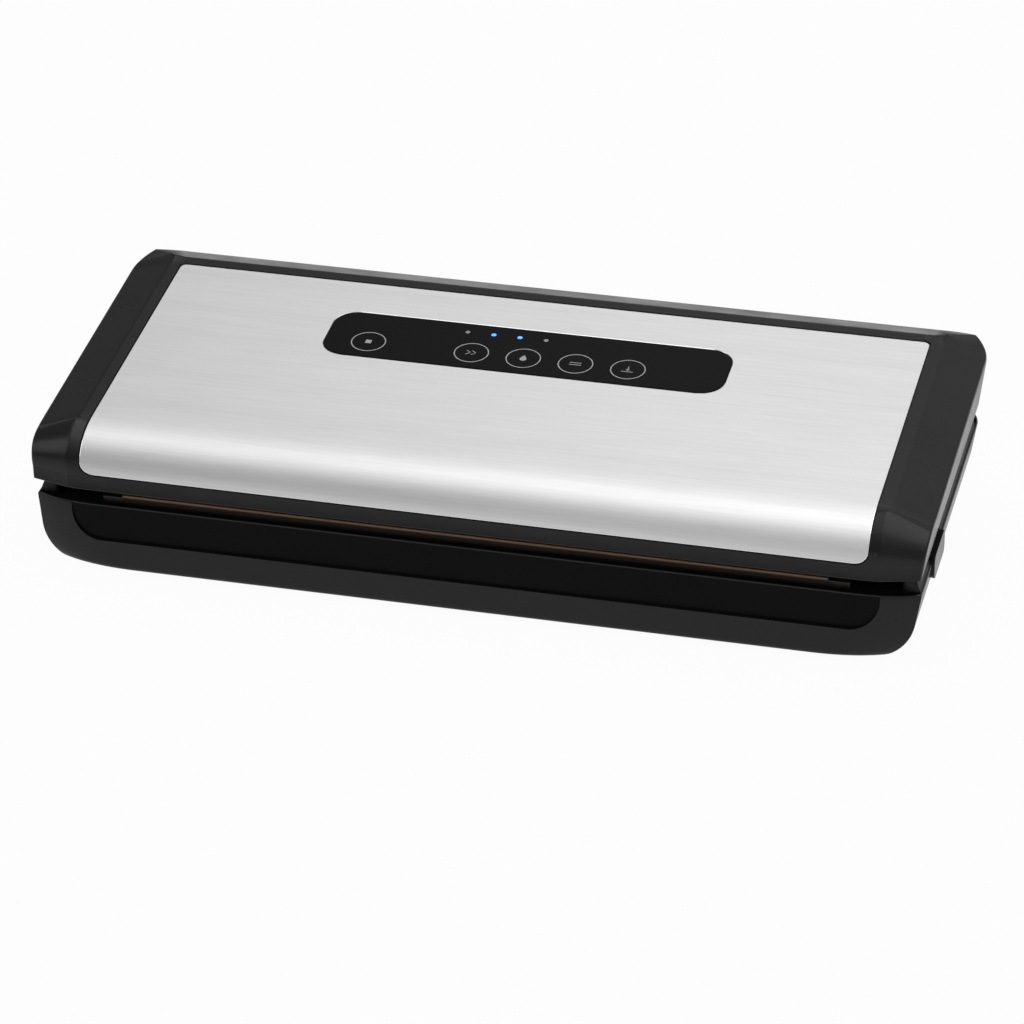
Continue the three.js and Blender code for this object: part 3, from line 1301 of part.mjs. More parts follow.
// The board under the strip, with a switch under each key, a light under each lamp, a chip and the
// ribbon's socket.
function controlBoard() {
  const top = controlBoardTop;
  const [halfWidth, halfLength] = CONTROL_BOARD_HALF;
  const seated = top - SOLDER;
  let board = stripBlock([-halfWidth, -halfLength, top - BOARD_THICKNESS], [halfWidth, halfLength, top]);
  for (const [, x] of keys) {
    const low = [x - KEY_SWITCH_HALF, KEY_ROW - KEY_SWITCH_HALF, seated];
    const high = [x + KEY_SWITCH_HALF, KEY_ROW + KEY_SWITCH_HALF, top + KEY_SWITCH_HEIGHT];
    board = join(board, stripBlock(low, high));
  }
  for (const x of lamps) board = join(board, stripRod(x, LED_ROW, seated, trayUnder - GAP, 1, 10));
  const [chipX, chipY] = CHIP.corner;
  const [chipWidth, chipLength, chipHeight] = CHIP.size;
  const chip = stripBlock(
    [chipX, chipY, top - chipHeight], [chipX + chipWidth, chipY + chipLength, top - BOARD_THICKNESS / 2],
  );
  const socket = stripBlock(
    [RIBBON_X - RIBBON_HALF - 1, halfLength - 7, top - SOCKET_DEPTH],
    [RIBBON_X + RIBBON_HALF + 1, halfLength - 1, top - 1],
  );
  return join(board, chip, socket);
}

// The flat cable goes down from the board's socket and back along the liner to the lid's rear.
function lidRibbon() {
  const socketFoot = new THREE.Vector3(RIBBON_X, CONTROL_BOARD_HALF[1] - 4, controlBoardTop - SOCKET_DEPTH);
  socketFoot.applyMatrix4(onStrip);
  const flat = linerTop + GAP;
  const [y, top] = [socketFoot.y, socketFoot.z - GAP];
  const side = polygon([
    [y, top], [y, flat + RIBBON_BEND], [y + RIBBON_BEND, flat], [hingeY, flat],
    [hingeY, flat + RIBBON_THICKNESS], [y + RIBBON_BEND + RIBBON_THICKNESS, flat + RIBBON_THICKNESS],
    [y + RIBBON_THICKNESS, flat + RIBBON_BEND + RIBBON_THICKNESS], [y + RIBBON_THICKNESS, top],
  ]);
  return alongX(side, RIBBON_X - RIBBON_HALF, RIBBON_X + RIBBON_HALF);
}

// ---------------------------------------------------------------- assembly

add('base_tub', 'plastic', baseTub());
add('base_deck', 'plastic', baseDeck());
for (const [row, y] of footRows) {
  for (const [name, side] of sides) {
    add(`foot_${row}_${name}`, 'rubber', foot()).position.set(side * footX, y, 0);
  }
}
baseScrews.forEach((place, n) => {
  add(`base_screw_${n + 1}`, 'bright', screw(place, screwSeat - GAP, baseScrewTip));
});
add('seal_bar', 'bakelite', sealBar());
add('heating_wire', 'bright', heatingWire());
add('ptfe_tape', 'tape', ptfeTape());
add('lower_gasket', 'foam', gasketRing(deckTop + GAP, deckTop + GAP + LOWER_GASKET_HEIGHT));
add('vacuum_nozzle', 'clear', vacuumNozzle());
add('vacuum_hose', 'clear', vacuumHose());
add('pump_bracket', 'bright', pumpBracket());
add('pump_motor', 'bright', pumpMotor());
add('motor_shaft', 'bright', motorShaft());
add('pump_head', 'white', pumpHead());
add('transformer', 'copper', transformer());
add('power_board', 'board', powerBoard());
add('heater_lead_left', 'red', heaterLead(-1));
add('heater_lead_right', 'red', heaterLead(1));
add('lid_switch', 'plastic', lidSwitch());
add('lid_switch_plunger', 'white', switchPlunger());
add('cord_gland', 'rubber', cordGland());

for (const [name, side] of sides) {
  const mirrored = (manifold) => (side > 0 ? manifold : manifold.mirror([1, 0, 0]));
  add(`release_button_${name}`, 'plastic', mirrored(releaseButton()));
  add(`latch_catch_${name}`, 'plastic', mirrored(latchCatch()));
  add(`release_spring_${name}`, 'bright', mirrored(releaseSpring()));
  add(`lid_hook_${name}`, 'plastic', mirrored(lidHook()));
  const pinStart = side * hingeX - cheekOuter + PIN_CAP + GAP;
  const pinEnd = side * hingeX + cheekOuter;
  const pin = rod([pinStart, hingeY, hingeZ], [pinEnd, hingeY, hingeZ], PIN_RADIUS, 20);
  add(`hinge_pin_${name}`, 'bright', pin);
}

add('lid_frame', 'plastic', lidFrame());
add('steel_panel', 'steel', steelPanel());
add('lid_liner', 'plastic', lidLiner());
add('upper_gasket', 'foam', gasketRing(linerUnder - GAP - UPPER_GASKET_HEIGHT, linerUnder - GAP));
add('press_strip', 'silicone', pressStrip());
lidScrews.forEach((place, n) => {
  add(`lid_screw_${n + 1}`, 'bright', screw(place, linerUnder - GAP, lidScrewTip));
});
add('control_strip', 'gloss', controlStrip());
add('control_board', 'board', controlBoard());
add('lid_ribbon', 'white', lidRibbon());
for (const [name, x] of keys) add(name, 'gloss', key(x));
lamps.forEach((x, n) => add(`lamp_${n + 1}`, LIT_LAMPS.includes(n) ? 'blue' : 'clear', lamp(x)));

export default model;
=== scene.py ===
"""A countertop vacuum sealer: moulded lid with a rolled steel cover, boat-shaped tub, latches, seal bar,
gaskets, pump and controls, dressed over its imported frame."""

import json
import math

import bmesh
import bpy
from bpy.props import FloatProperty, FloatVectorProperty, PointerProperty
from mathutils import Matrix, Vector


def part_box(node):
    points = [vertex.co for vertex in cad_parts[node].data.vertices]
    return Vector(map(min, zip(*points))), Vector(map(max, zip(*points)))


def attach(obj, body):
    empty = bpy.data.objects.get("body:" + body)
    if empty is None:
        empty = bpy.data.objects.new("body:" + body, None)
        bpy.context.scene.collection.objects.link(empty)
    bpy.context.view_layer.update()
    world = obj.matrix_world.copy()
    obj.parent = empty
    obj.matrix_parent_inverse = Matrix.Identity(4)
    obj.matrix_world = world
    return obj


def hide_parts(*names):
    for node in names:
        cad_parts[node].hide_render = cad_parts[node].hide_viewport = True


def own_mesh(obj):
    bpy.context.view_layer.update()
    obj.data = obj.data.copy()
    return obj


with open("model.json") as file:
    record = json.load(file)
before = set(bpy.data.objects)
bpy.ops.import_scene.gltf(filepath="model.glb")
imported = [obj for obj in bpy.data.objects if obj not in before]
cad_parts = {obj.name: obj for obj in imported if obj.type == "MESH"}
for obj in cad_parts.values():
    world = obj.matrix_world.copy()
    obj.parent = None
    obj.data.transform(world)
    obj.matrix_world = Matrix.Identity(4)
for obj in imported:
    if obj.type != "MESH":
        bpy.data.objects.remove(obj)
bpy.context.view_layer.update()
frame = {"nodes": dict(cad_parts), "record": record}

bl_info = {
    "name": "Vacuum Sealer",
    "version": (1, 0, 0),
    "blender": (4, 5, 0),
    "location": "View3D > Sidebar > Sealer",
    "description": "Makes the visible pieces, finishes and studio of a countertop vacuum sealer",
    "category": "Object",
}

MM = 0.001  # everything below is worked out in millimetres


def extent(node):
    low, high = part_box(node)
    return [c / MM for c in low], [c / MM for c in high]


# ---------------------------------------------------------------- the lid's form

(_, LID_FRONT, LIP), (LID_HALF, LID_BACK, _) = extent("lid_frame")
SLOPE = 0.046  # rise of the top towards the back
TILT = math.atan(SLOPE)
ROLL = 17.7  # radius of the front curve
ROLL_Y = LID_FRONT + 1.6 + ROLL
ROLL_Z = LIP + 5.2
EASE_RUN = 18.0  # length over which the front curve eases into the top
BOW_LENGTH = 28.0  # length of the bow at each end of the front
END_SETBACK = 4.5  # how far the front lies back at its ends
SETTLE_RUN = 30.0  # length behind the front curve over which that setback dies out
PANEL_HALF = LID_HALF - 24
PANEL_BACK = LID_BACK - 20.6
PANEL_SINK = 0.4  # depth of the cover's face under the lid's
COVER_FOOT = 1.1  # the cover ends this far above the start of the front curve
COVER_RADII = (6.0, 3.0)  # the cover's corners, front and rear
COVER_EDGE = 0.35  # rounding of its cut edges
SEAM = 0.3  # gap round a seated piece
RECESS = 1.5  # depth of the cover's seat
CHAMFER = 5.0  # width of the rim beside the cover
CHAMFER_FALL = -1.1  # that rim rises outwards
EDGE_FALL = 6.2  # drop of the outer edge
CORNER = 20.0  # radius of the rear corners
WALL_LEAN = 2.5  # how far the walls lean in at the lip
LEAN_FROM = LIP + 20
SHEET_SPAN = 400.0  # flat length that the sheet's map counts as one

SIDE_BAND = (PANEL_HALF + SEAM, PANEL_HALF + SEAM + CHAMFER, LID_HALF)
REAR_BAND = (PANEL_BACK + SEAM, PANEL_BACK + SEAM + CHAMFER, LID_BACK)

# A sheet is laid out flat before it is pressed: U runs across the lid, V from the lip up over the
# front curve and back along the top, and height below zero is depth under the lid's face.
V_ROLL = ROLL_Z - LIP
V_TOP = V_ROLL + ROLL * (math.pi / 2 - TILT)
TOP_Y = ROLL_Y - ROLL * math.sin(TILT)


def v_of(y):
    return V_TOP + y - TOP_Y


def fall(at, band):
    """How far the top has dropped at a distance from the middle, over the chamfer and the outer band."""
    start, bend, edge = band
    if at <= start:
        return 0.0
    if at <= bend:
        return CHAMFER_FALL * (at - start) / (bend - start)
    return CHAMFER_FALL + (EDGE_FALL - CHAMFER_FALL) * (at - bend) / (edge - bend)


def setback(at, share):
    """How far the front lies back near the ends: a smooth bow at the lip, the bands' line over the roll."""
    _, bend, edge = SIDE_BAND
    if at <= bend:
        banded = fall(at, SIDE_BAND)
    else:
        banded = CHAMFER_FALL + (END_SETBACK - CHAMFER_FALL) * (at - bend) / (edge - bend)
    bowed = END_SETBACK * (max(at - edge + BOW_LENGTH, 0) / BOW_LENGTH) ** 2
    return bowed + (banded - bowed) * share


def lean(z):
    return WALL_LEAN * max(LEAN_FROM - z, 0.0) / (LEAN_FROM - LIP)


def roll_angle(v):
    return math.pi - (math.pi / 2 - TILT) * (v - V_ROLL) / (V_TOP - V_ROLL)


def easing(v):
    """How far the eased run between the front curve and the top lies under a plain arc and line."""
    along = v - (V_TOP - EASE_RUN / 2)
    if v >= V_TOP:
        return max(EASE_RUN - along, 0) ** 3 / (6 * ROLL * EASE_RUN)
    if v <= V_ROLL:
        return 0.0
    inset = EASE_RUN**2 / (24 * ROLL)
    return inset * (1 + math.cos(roll_angle(v))) - max(along, 0) ** 3 / (6 * ROLL * EASE_RUN)


def pressed(flat):
    """Where a point of the flat sheet lies once the lid is pressed to shape."""
    v, out = flat.y, abs(flat.x)
    depth = easing(v) - flat.z
    over = min(max((v - V_ROLL) / (V_TOP - V_ROLL), 0.0), 1.0)
    drop, back = fall(out, SIDE_BAND), setback(out, over**0.7)
    radius = ROLL - drop - depth
    middle = ROLL_Y + back - drop
    if v <= V_ROLL:
        t = v / V_ROLL
        y = (LID_FRONT + back + depth) * (1 - t) + (middle - radius) * t
        z = LIP + (ROLL_Z - LIP) * t
    elif v <= V_TOP:
        y = middle + radius * math.cos(roll_angle(v))
        z = ROLL_Z + radius * math.sin(roll_angle(v))
    else:
        start = middle - radius * math.sin(TILT)
        y = TOP_Y + v - V_TOP + (start - TOP_Y) * max(0.0, 1 - (v - V_TOP) / SETTLE_RUN)
        z = ROLL_Z + radius / math.cos(TILT) + SLOPE * (y - middle)
        rear = ROLL_Z + (ROLL - depth) / math.cos(TILT) + SLOPE * (y - ROLL_Y) - fall(y, REAR_BAND)
        z = min(z, rear)
    bend = SIDE_BAND[1]
    if out > bend:
        out = bend + (out - bend) * (LID_HALF - lean(z) - bend) / (LID_HALF - bend)
    return Vector((math.copysign(out, flat.x), y, z))


# ---------------------------------------------------------------- sheet work


def flat_sheet(u0, u1, v0, v1):
    bm = bmesh.new()
    bmesh.ops.create_grid(bm, x_segments=1, y_segments=1, size=0.5)
    bmesh.ops.scale(bm, vec=(u1 - u0, v1 - v0, 1), verts=bm.verts)
    bmesh.ops.translate(bm, vec=((u0 + u1) / 2, (v0 + v1) / 2, 0), verts=bm.verts)
    return bm


def parts_of(faces):
    edges = dict.fromkeys(edge for face in faces for edge in face.edges)
    verts = dict.fromkeys(vert for face in faces for vert in face.verts)
    return [*faces, *edges, *verts]


def new_verts(drawn):
    return [item for item in drawn["geom"] if isinstance(item, bmesh.types.BMVert)]


def new_edges(drawn):
    return [item for item in drawn["geom"] if isinstance(item, bmesh.types.BMEdge)]


def open_edges(bm):
    return [edge for edge in bm.edges if edge.is_boundary]


def middle_of(face):
    return face.calc_center_median()


def score(bm, at, way, faces=None, trim=False):
    """Cut a straight line through a flat sheet, or trim away what lies beyond it."""
    geom = parts_of(list(bm.faces) if faces is None else faces)
    bmesh.ops.bisect_plane(bm, geom=geom, dist=1e-5, plane_co=(*at, 0), plane_no=(*way, 0), clear_outer=trim)


def chords(centre, radius, quarter, steps):
    """The straight cuts that stand for a quarter circle: a point of each and its outward direction."""
    half = math.pi / 4 / steps
    for step in range(steps):
        angle = quarter * math.pi / 2 + half * (2 * step + 1)
        way = (math.cos(angle), math.sin(angle))
        reach = radius * math.cos(half)
        yield (centre[0] + reach * way[0], centre[1] + reach * way[1]), way


def trim_corner(bm, centre, radius, quarter, steps=8):
    for at, way in chords(centre, radius, quarter, steps):
        score(bm, at, way, trim=True)


def scored_window(bm, half, v0, v1, front_radius, rear_radius, steps=6):
    """Score a rounded window into a sheet and return the faces inside it."""
    for u in (-half, half):
        score(bm, (u, 0), (1, 0))
    for v in (v0, v1):
        score(bm, (0, v), (0, 1))

    def framed(middle):
        return abs(middle.x) < half and v0 < middle.y < v1

    def in_corner(middle, centre, side, rearward):
        return (middle.x - centre[0]) * side > 0 and (middle.y - centre[1]) * rearward > 0

    def beyond(point, at, way):
        return (point.x - at[0]) * way[0] + (point.y - at[1]) * way[1] > 1e-6

    corners = []
    for side, rearward, quarter in ((1, 1, 0), (-1, 1, 1), (-1, -1, 2), (1, -1, 3)):
        radius, edge_v = (rear_radius, v1) if rearward > 0 else (front_radius, v0)
        place = ((side * (half - radius), edge_v - rearward * radius), side, rearward)
        score(bm, (place[0][0], 0), (1, 0))
        score(bm, (0, place[0][1]), (0, 1))
        cuts = list(chords(place[0], radius, quarter, steps))
        for at, way in cuts:
            framed_faces = [face for face in bm.faces if framed(middle_of(face))]
            score(bm, at, way, faces=[face for face in framed_faces if in_corner(middle_of(face), *place)])
        corners.append((place, cuts))

    def inside(middle):
        return framed(middle) and not any(
            in_corner(middle, *place) and any(beyond(middle, *cut) for cut in cuts) for place, cuts in corners
        )

    return [face for face in bm.faces if inside(middle_of(face))]


def roll_lines(bm, steps=26):
    """Lines over the front curve and its eased run, and one behind that keeps the top's shading flat."""
    for step in range(steps + 1):
        score(bm, (0, V_ROLL + (V_TOP - V_ROLL) * step / steps), (0, 1))
    for step in range(1, 8):
        score(bm, (0, V_TOP + EASE_RUN / 2 * step / 6), (0, 1))


def press(bm):
    """Press the flat sheet to the lid's form; its flat coordinates stay with it as a map."""
    flat = bm.loops.layers.uv.new("sheet")
    for face in bm.faces:
        for loop in face.loops:
            loop[flat].uv = (loop.vert.co.y / SHEET_SPAN, loop.vert.co.x / SHEET_SPAN)
    for vert in bm.verts:
        vert.co = pressed(vert.co)


def point_outwards(bm, probe=Vector((0, 0, 1))):
    """Make all faces agree, with the one that reaches furthest along a direction facing that way."""
    bmesh.ops.recalc_face_normals(bm, faces=bm.faces)
    bm.normal_update()
    furthest = max(bm.faces, key=lambda face: middle_of(face).dot(probe) + face.calc_area() * 1e-6)
    if furthest.normal.dot(probe) < 0:
        bmesh.ops.reverse_faces(bm, faces=bm.faces)


# ---------------------------------------------------------------- making pieces


def linked(name, data):
    made = bpy.data.objects.new(name, data)
    bpy.context.scene.collection.objects.link(made)
    return made


def scene_object(name, bm):
    """Turn a mesh in millimetres into an object of the scene."""
    bmesh.ops.scale(bm, vec=(MM, MM, MM), verts=bm.verts)
    mesh = bpy.data.meshes.new(name)
    bm.to_mesh(mesh)
    bm.free()
    return linked(name, mesh)


def smoothed(mesh, crease):
    mesh.polygons.foreach_set("use_smooth", [True] * len(mesh.polygons))
    mesh.set_sharp_from_angle(angle=math.radians(crease))


def piece(name, bm, surfaces, body, stands_for, crease=35.0):
    """Make a piece that rides on a body of the frame and stands for some of its nodes."""
    made = scene_object(name, bm)
    for surface in surfaces if isinstance(surfaces, list) else [surfaces]:
        made.data.materials.append(surface)
    smoothed(made.data, crease)
    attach(made, body)
    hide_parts(*stands_for)
    return made


def walled(made, thickness):
    shell = made.modifiers.new("wall", "SOLIDIFY")
    shell.thickness = thickness * MM
    shell.offset = -1
    shell.use_even_offset = False


def edged(made, width, segments, angle=30.0, by_weight=False):
    """Round the edges of a piece with a live bevel."""
    rounding = made.modifiers.new("edges", "BEVEL")
    rounding.width = width * MM
    rounding.segments = segments
    rounding.limit_method = "WEIGHT" if by_weight else "ANGLE"
    rounding.angle_limit = math.radians(angle)
    rounding.harden_normals = True
    rounding.use_clamp_overlap = not by_weight
    rounding.miter_outer = "MITER_ARC"


def merged_copy(node):
    """The faces of a frame node in millimetres, merged and with flat areas made whole."""
    bm = bmesh.new()
    bm.from_mesh(frame["nodes"][node].data)
    bmesh.ops.scale(bm, vec=(1 / MM, 1 / MM, 1 / MM), verts=bm.verts)
    bmesh.ops.remove_doubles(bm, verts=bm.verts, dist=1e-3)
    bmesh.ops.dissolve_limit(
        bm, angle_limit=math.radians(0.6), verts=bm.verts, edges=bm.edges, use_dissolve_boundaries=False
    )
    return bm


def softened(node, name, finish, body, width, segments, angle=35.0):
    """A node's own shape with its edges rounded."""
    edged(piece(name, merged_copy(node), finishes[finish], body, [node]), width, segments, angle)


def cut_out(made, cutters):
    """Cut shapes out of a piece for good."""
    for cutter in cutters:
        cutting = made.modifiers.new("cut", "BOOLEAN")
        cutting.operation = "DIFFERENCE"
        cutting.solver = "EXACT"
        cutting.object = cutter
    bpy.context.view_layer.update()
    graph = bpy.context.evaluated_depsgraph_get()
    result = bpy.data.meshes.new_from_object(made.evaluated_get(graph))
    made.modifiers.clear()
    made.data = result
    for cutter in cutters:
        bpy.data.objects.remove(cutter)


def rounded_plate(half, length, radius, steps=8):
    """A flat rounded rectangle about the origin: half width, whole length, corner radius."""
    bm = flat_sheet(-half, half, -length / 2, length / 2)
    for quarter, (sx, sy) in enumerate(((1, 1), (-1, 1), (-1, -1), (1, -1))):
        trim_corner(bm, (sx * (half - radius), sy * (length / 2 - radius)), radius, quarter, steps)
    return bm


def thicken(bm, by):
    """Draw a flat sheet up or down into a closed slab."""
    drawn = bmesh.ops.extrude_face_region(bm, geom=bm.faces[:])
    bmesh.ops.translate(bm, vec=(0, 0, by), verts=new_verts(drawn))
    point_outwards(bm, Vector((0, 0, 1 if by < 0 else -1)))


def turned_over(bm, offset, segments):
    """Bevel the sharp edges round a slab's upper face and return the new faces."""
    lip = [
        edge for edge in bm.edges
        if all(vert.co.z > -1e-6 for vert in edge.verts) and edge.calc_face_angle(0) > 1
    ]
    return bmesh.ops.bevel(
        bm, geom=lip, offset=offset, affect="EDGES", segments=segments, profile=0.5, material=-1
    )["faces"]


def lathed(profile, steps):
    """Spin a profile of radius and height about the upright axis."""
    bm = bmesh.new()
    verts = [bm.verts.new((radius, 0, height)) for radius, height in profile]
    edges = [bm.edges.new(pair) for pair in zip(verts, verts[1:])]
    bmesh.ops.spin(
        bm, geom=verts + edges, cent=(0, 0, 0), axis=(0, 0, 1), angle=math.tau, steps=steps, use_merge=True
    )
    bmesh.ops.remove_doubles(bm, verts=bm.verts, dist=1e-4)
    bmesh.ops.recalc_face_normals(bm, faces=bm.faces)
    return bm


# ---------------------------------------------------------------- finishes

finishes = {}


class Nodes:
    """A node tree with short ways to add nodes and to set or link their sockets."""

    def __init__(self, tree):
        self.tree = tree

    def put(self, node, socket, value):
        """Set a socket, or link it where the value is another node's output."""
        if isinstance(value, bpy.types.NodeSocket):
            self.tree.links.new(value, node.inputs[socket])
        else:
            node.inputs[socket].default_value = value

    def add(self, kind, sockets=None, **settings):
        node = self.tree.nodes.new(kind)
        for key, value in settings.items():
            setattr(node, key, value)
        for socket, value in (sockets or {}).items():
            self.put(node, socket, value)
        return node

    def math(self, operation, *values):
        return self.add("ShaderNodeMath", dict(enumerate(values)), operation=operation).outputs["Value"]

    def ranged(self, value, low, high, start=0.3, end=0.7, **settings):
        sockets = {"Value": value, "From Min": start, "From Max": end, "To Min": low, "To Max": high}
        return self.add("ShaderNodeMapRange", sockets, **settings).outputs["Result"]

    def between(self, factor, low, high):
        """A colour between two others."""
        sockets = {"Factor": factor, "A": (*low, 1), "B": (*high, 1)}
        return self.add("ShaderNodeMix", sockets, data_type="RGBA").outputs["Result"]

    def seen(self):
        """One for rays from the camera, in mirrors and through clear pieces, and zero for the rest."""
        ray = self.add("ShaderNodeLightPath").outputs
        direct = self.math("MAXIMUM", ray["Is Camera Ray"], ray["Is Glossy Ray"])
        return self.math("MAXIMUM", direct, ray["Is Transmission Ray"])


class Finish(Nodes):
    """A procedural surface: a shader with noise in object space for tone, gloss and relief."""

    def __init__(self, name, colour, roughness, metallic=0.0, **sockets):
        self.material = bpy.data.materials.new(name)
        self.material.use_nodes = True
        super().__init__(self.material.node_tree)
        self.shader = self.tree.nodes["Principled BSDF"]
        self.colour, self.roughness = tuple(colour), roughness
        self.shade(Base_Color=(*colour, 1), Roughness=roughness, Metallic=metallic, **sockets)
        self.material.diffuse_color = (*colour, 1)
        self.place = self.add("ShaderNodeTexCoord").outputs["Object"]
        self.last_bump = None

    def shade(self, **sockets):
        """Set or link the shader's own sockets."""
        for socket, value in sockets.items():
            self.put(self.shader, socket.replace("_", " "), value)

    def noise(self, scale, stretch=(1, 1, 1), detail=3.0, turn=(0, 0, 0)):
        mapping = self.add("ShaderNodeMapping", {"Vector": self.place, "Scale": stretch, "Rotation": turn})
        sockets = {"Vector": mapping.outputs["Vector"], "Scale": scale, "Detail": detail}
        return self.add("ShaderNodeTexNoise", sockets).outputs["Fac"]

    def bands(self, axis, scale, distortion=0.0):
        sockets = {"Vector": self.place, "Scale": scale, "Distortion": distortion}
        return self.add("ShaderNodeTexWave", sockets, wave_type="BANDS", bands_direction=axis).outputs["Fac"]

    def tone(self, value, amount, start=0.3, end=0.7):
        """Vary the colour's lightness up and down by an amount."""
        low = [c * (1 - amount) for c in self.colour]
        high = [min(c * (1 + amount), 1) for c in self.colour]
        self.shade(Base_Color=self.between(self.ranged(value, 0, 1, start, end), low, high))

    def gloss(self, value, amount):
        self.shade(Roughness=self.ranged(value, self.roughness - amount, self.roughness + amount))

    def relief(self, value, strength, distance):
        """Lay a relief of so many millimetres over the ones before it."""
        bump = self.add("ShaderNodeBump", {"Height": value, "Strength": strength, "Distance": distance * MM})
        if self.last_bump is not None:
            self.put(bump, "Normal", self.last_bump)
        self.last_bump = bump.outputs["Normal"]
        self.shade(Normal=self.last_bump)


def moulded(name, colour, roughness, grain=1400, depth=0.04, **sockets):
    """Moulded plastic: fine spark-eroded grain with faint flow in its gloss."""
    made = Finish(name, colour, roughness, **sockets)
    made.tone(made.noise(18, detail=2), 0.10)
    made.gloss(made.noise(55, detail=4), 0.05)
    made.relief(made.noise(grain, detail=2), 0.25, depth)
    return made.material


def brushed(name, colour, roughness, sweep=(0.03, 1, 1), strokes=1100, anisotropy=0.0):
    """Metal with fine strokes along one way, uneven gloss and faint cloudiness."""
    made = Finish(name, colour, roughness, metallic=1.0, Anisotropic=anisotropy)
    fine = made.noise(strokes, sweep, 6, (0.6, 0, 0))
    broad = made.noise(strokes / 7, [c * (0.5 if c < 1 else 1) for c in sweep], 4, (0.9, 0, 0))
    cloud = made.noise(9, (0.6, 1, 1), 4)
    streaks = made.math("MULTIPLY_ADD", broad, 0.45, fine)
    made.tone(made.math("MULTIPLY_ADD", cloud, 0.5, streaks), 0.07, 0.6, 1.35)
    made.gloss(broad, 0.015)
    made.relief(fine, 0.08, 0.01)
    if anisotropy:
        tangent = made.add("ShaderNodeTangent", direction_type="UV_MAP", uv_map="sheet")
        made.shade(Tangent=tangent.outputs["Tangent"])
    return made.material


def foamed(name, colour):
    """Closed-cell foam: small pores and a dry surface."""
    made = Finish(name, colour, 0.92)
    cells = made.add("ShaderNodeTexVoronoi", {"Vector": made.place, "Scale": 1500})
    made.tone(made.noise(420), 0.35)
    made.relief(cells.outputs["Distance"], 0.5, 0.15)
    return made.material


def woven(name, colour):
    """Coated glass cloth: a fine square weave under a waxy film, with painted shade down its sides and a
    painted highlight along its top.
    """
    made = Finish(name, colour, 0.45, Specular_IOR_Level=0.08)
    for axis in ("X", "Y"):
        made.relief(made.bands(axis, 520), 0.3, 0.03)
    # Painted light: the colour is darkened low down as shade and lightened near the top as a highlight.
    level = made.add("ShaderNodeSeparateXYZ", {"Vector": made.place}).outputs["Z"]
    fold = extent("ptfe_tape")[1][2] * MM
    made.tone(made.ranged(level, 0, 1, fold - 1.3 * MM, fold - 0.7 * MM), 0.85, 0, 1)
    return made.material


def wound(name, colour):
    """Enamelled wire wound in close turns round an upright core."""
    made = Finish(name, colour, 0.3, metallic=0.9)
    turns = made.bands("Z", 420, 0.6)
    made.tone(turns, 0.3, 0, 1)
    made.relief(turns, 0.8, 0.2)
    return made.material


def etched(name, colour):
    """A circuit board: lacquer over copper tracks."""
    made = Finish(name, colour, 0.4)
    tracks = made.add("ShaderNodeTexBrick", {
        "Vector": made.place, "Scale": 160, "Color1": (0.01, 0.10, 0.03, 1), "Color2": (0.012, 0.12, 0.04, 1),
        "Mortar": (0.03, 0.20, 0.07, 1), "Mortar Size": 0.03,
    })
    made.shade(Base_Color=tracks.outputs["Color"])
    made.relief(made.noise(300), 0.15, 0.05)
    return made.material


def glowing(name, colour, strength):
    """A lit lens with a slightly uneven glow."""
    made = Finish(name, colour, 0.25, Emission_Color=(*colour, 1))
    made.shade(Emission_Strength=made.ranged(made.noise(900, detail=1), strength * 0.8, strength * 1.2))
    return made.material


def clear(name):
    made = Finish(name, (0.55, 0.57, 0.6), 0.2, Transmission_Weight=0.5, IOR=1.5)
    made.tone(made.noise(700), 0.15)
    return made.material


def make_finishes(colours):
    case = colours.case
    finishes.update(
        case=moulded("case_black", case, 0.30, Specular_IOR_Level=0.28),
        inner=moulded("inner_black", [c * 2.2 for c in case], 0.5, grain=900, Specular_IOR_Level=0.2),
        # The scoop's face is rougher and less glossy than the case, and its colour is halved as painted shade
        # in the recess.
        scoop=moulded("scoop_painted_shade", [c * 0.5 for c in case], 0.45, Specular_IOR_Level=0.07),
        steel=brushed("brushed_steel", colours.steel, 0.40, anisotropy=0.8),
        # Smoother than the brushed face, and paler than the steel as a painted highlight along the cut edges.
        cut_edge=brushed("cut_edge", (0.93, 0.93, 0.93), 0.16, strokes=2000),
        gloss=moulded("gloss_black", (0.003, 0.003, 0.0033), 0.12, 300, 0.01, Specular_IOR_Level=0.08),
        mark=moulded("pale_mark", (0.42, 0.43, 0.44), 0.4),
        lamp_off=clear("lamp_clear"),
        lamp_lit=glowing("lamp_blue", colours.lamp, 2.2),
        foam=foamed("foam_grey", (0.035, 0.036, 0.04)),
        rubber=moulded("foot_rubber", (0.012, 0.012, 0.012), 0.85, 700, 0.08),
        silicone=moulded("silicone_red", (0.22, 0.03, 0.02), 0.6, 500, 0.05),
        cloth=woven("glass_cloth", (0.15, 0.1, 0.065)),
        bakelite=moulded("bakelite_brown", (0.008, 0.005, 0.004), 0.5, 300, 0.06),
        alloy=brushed("heater_alloy", (0.42, 0.40, 0.37), 0.35, strokes=1500),
        zinc=brushed("zinc_plate", (0.60, 0.62, 0.64), 0.28, (1, 1, 0.4), 500),
        can=brushed("motor_can", (0.50, 0.50, 0.51), 0.35, (1, 0.2, 0.2), 700),
        tube=clear("clear_tube"),
        winding=wound("copper_winding", (0.45, 0.17, 0.06)),
        board=etched("green_board", (0.012, 0.12, 0.04)),
        lead=moulded("red_lead", (0.35, 0.02, 0.015), 0.45, 600, 0.04),
        white=moulded("white_plastic", (0.62, 0.62, 0.60), 0.5, 500, 0.03),
    )


# ---------------------------------------------------------------- lid


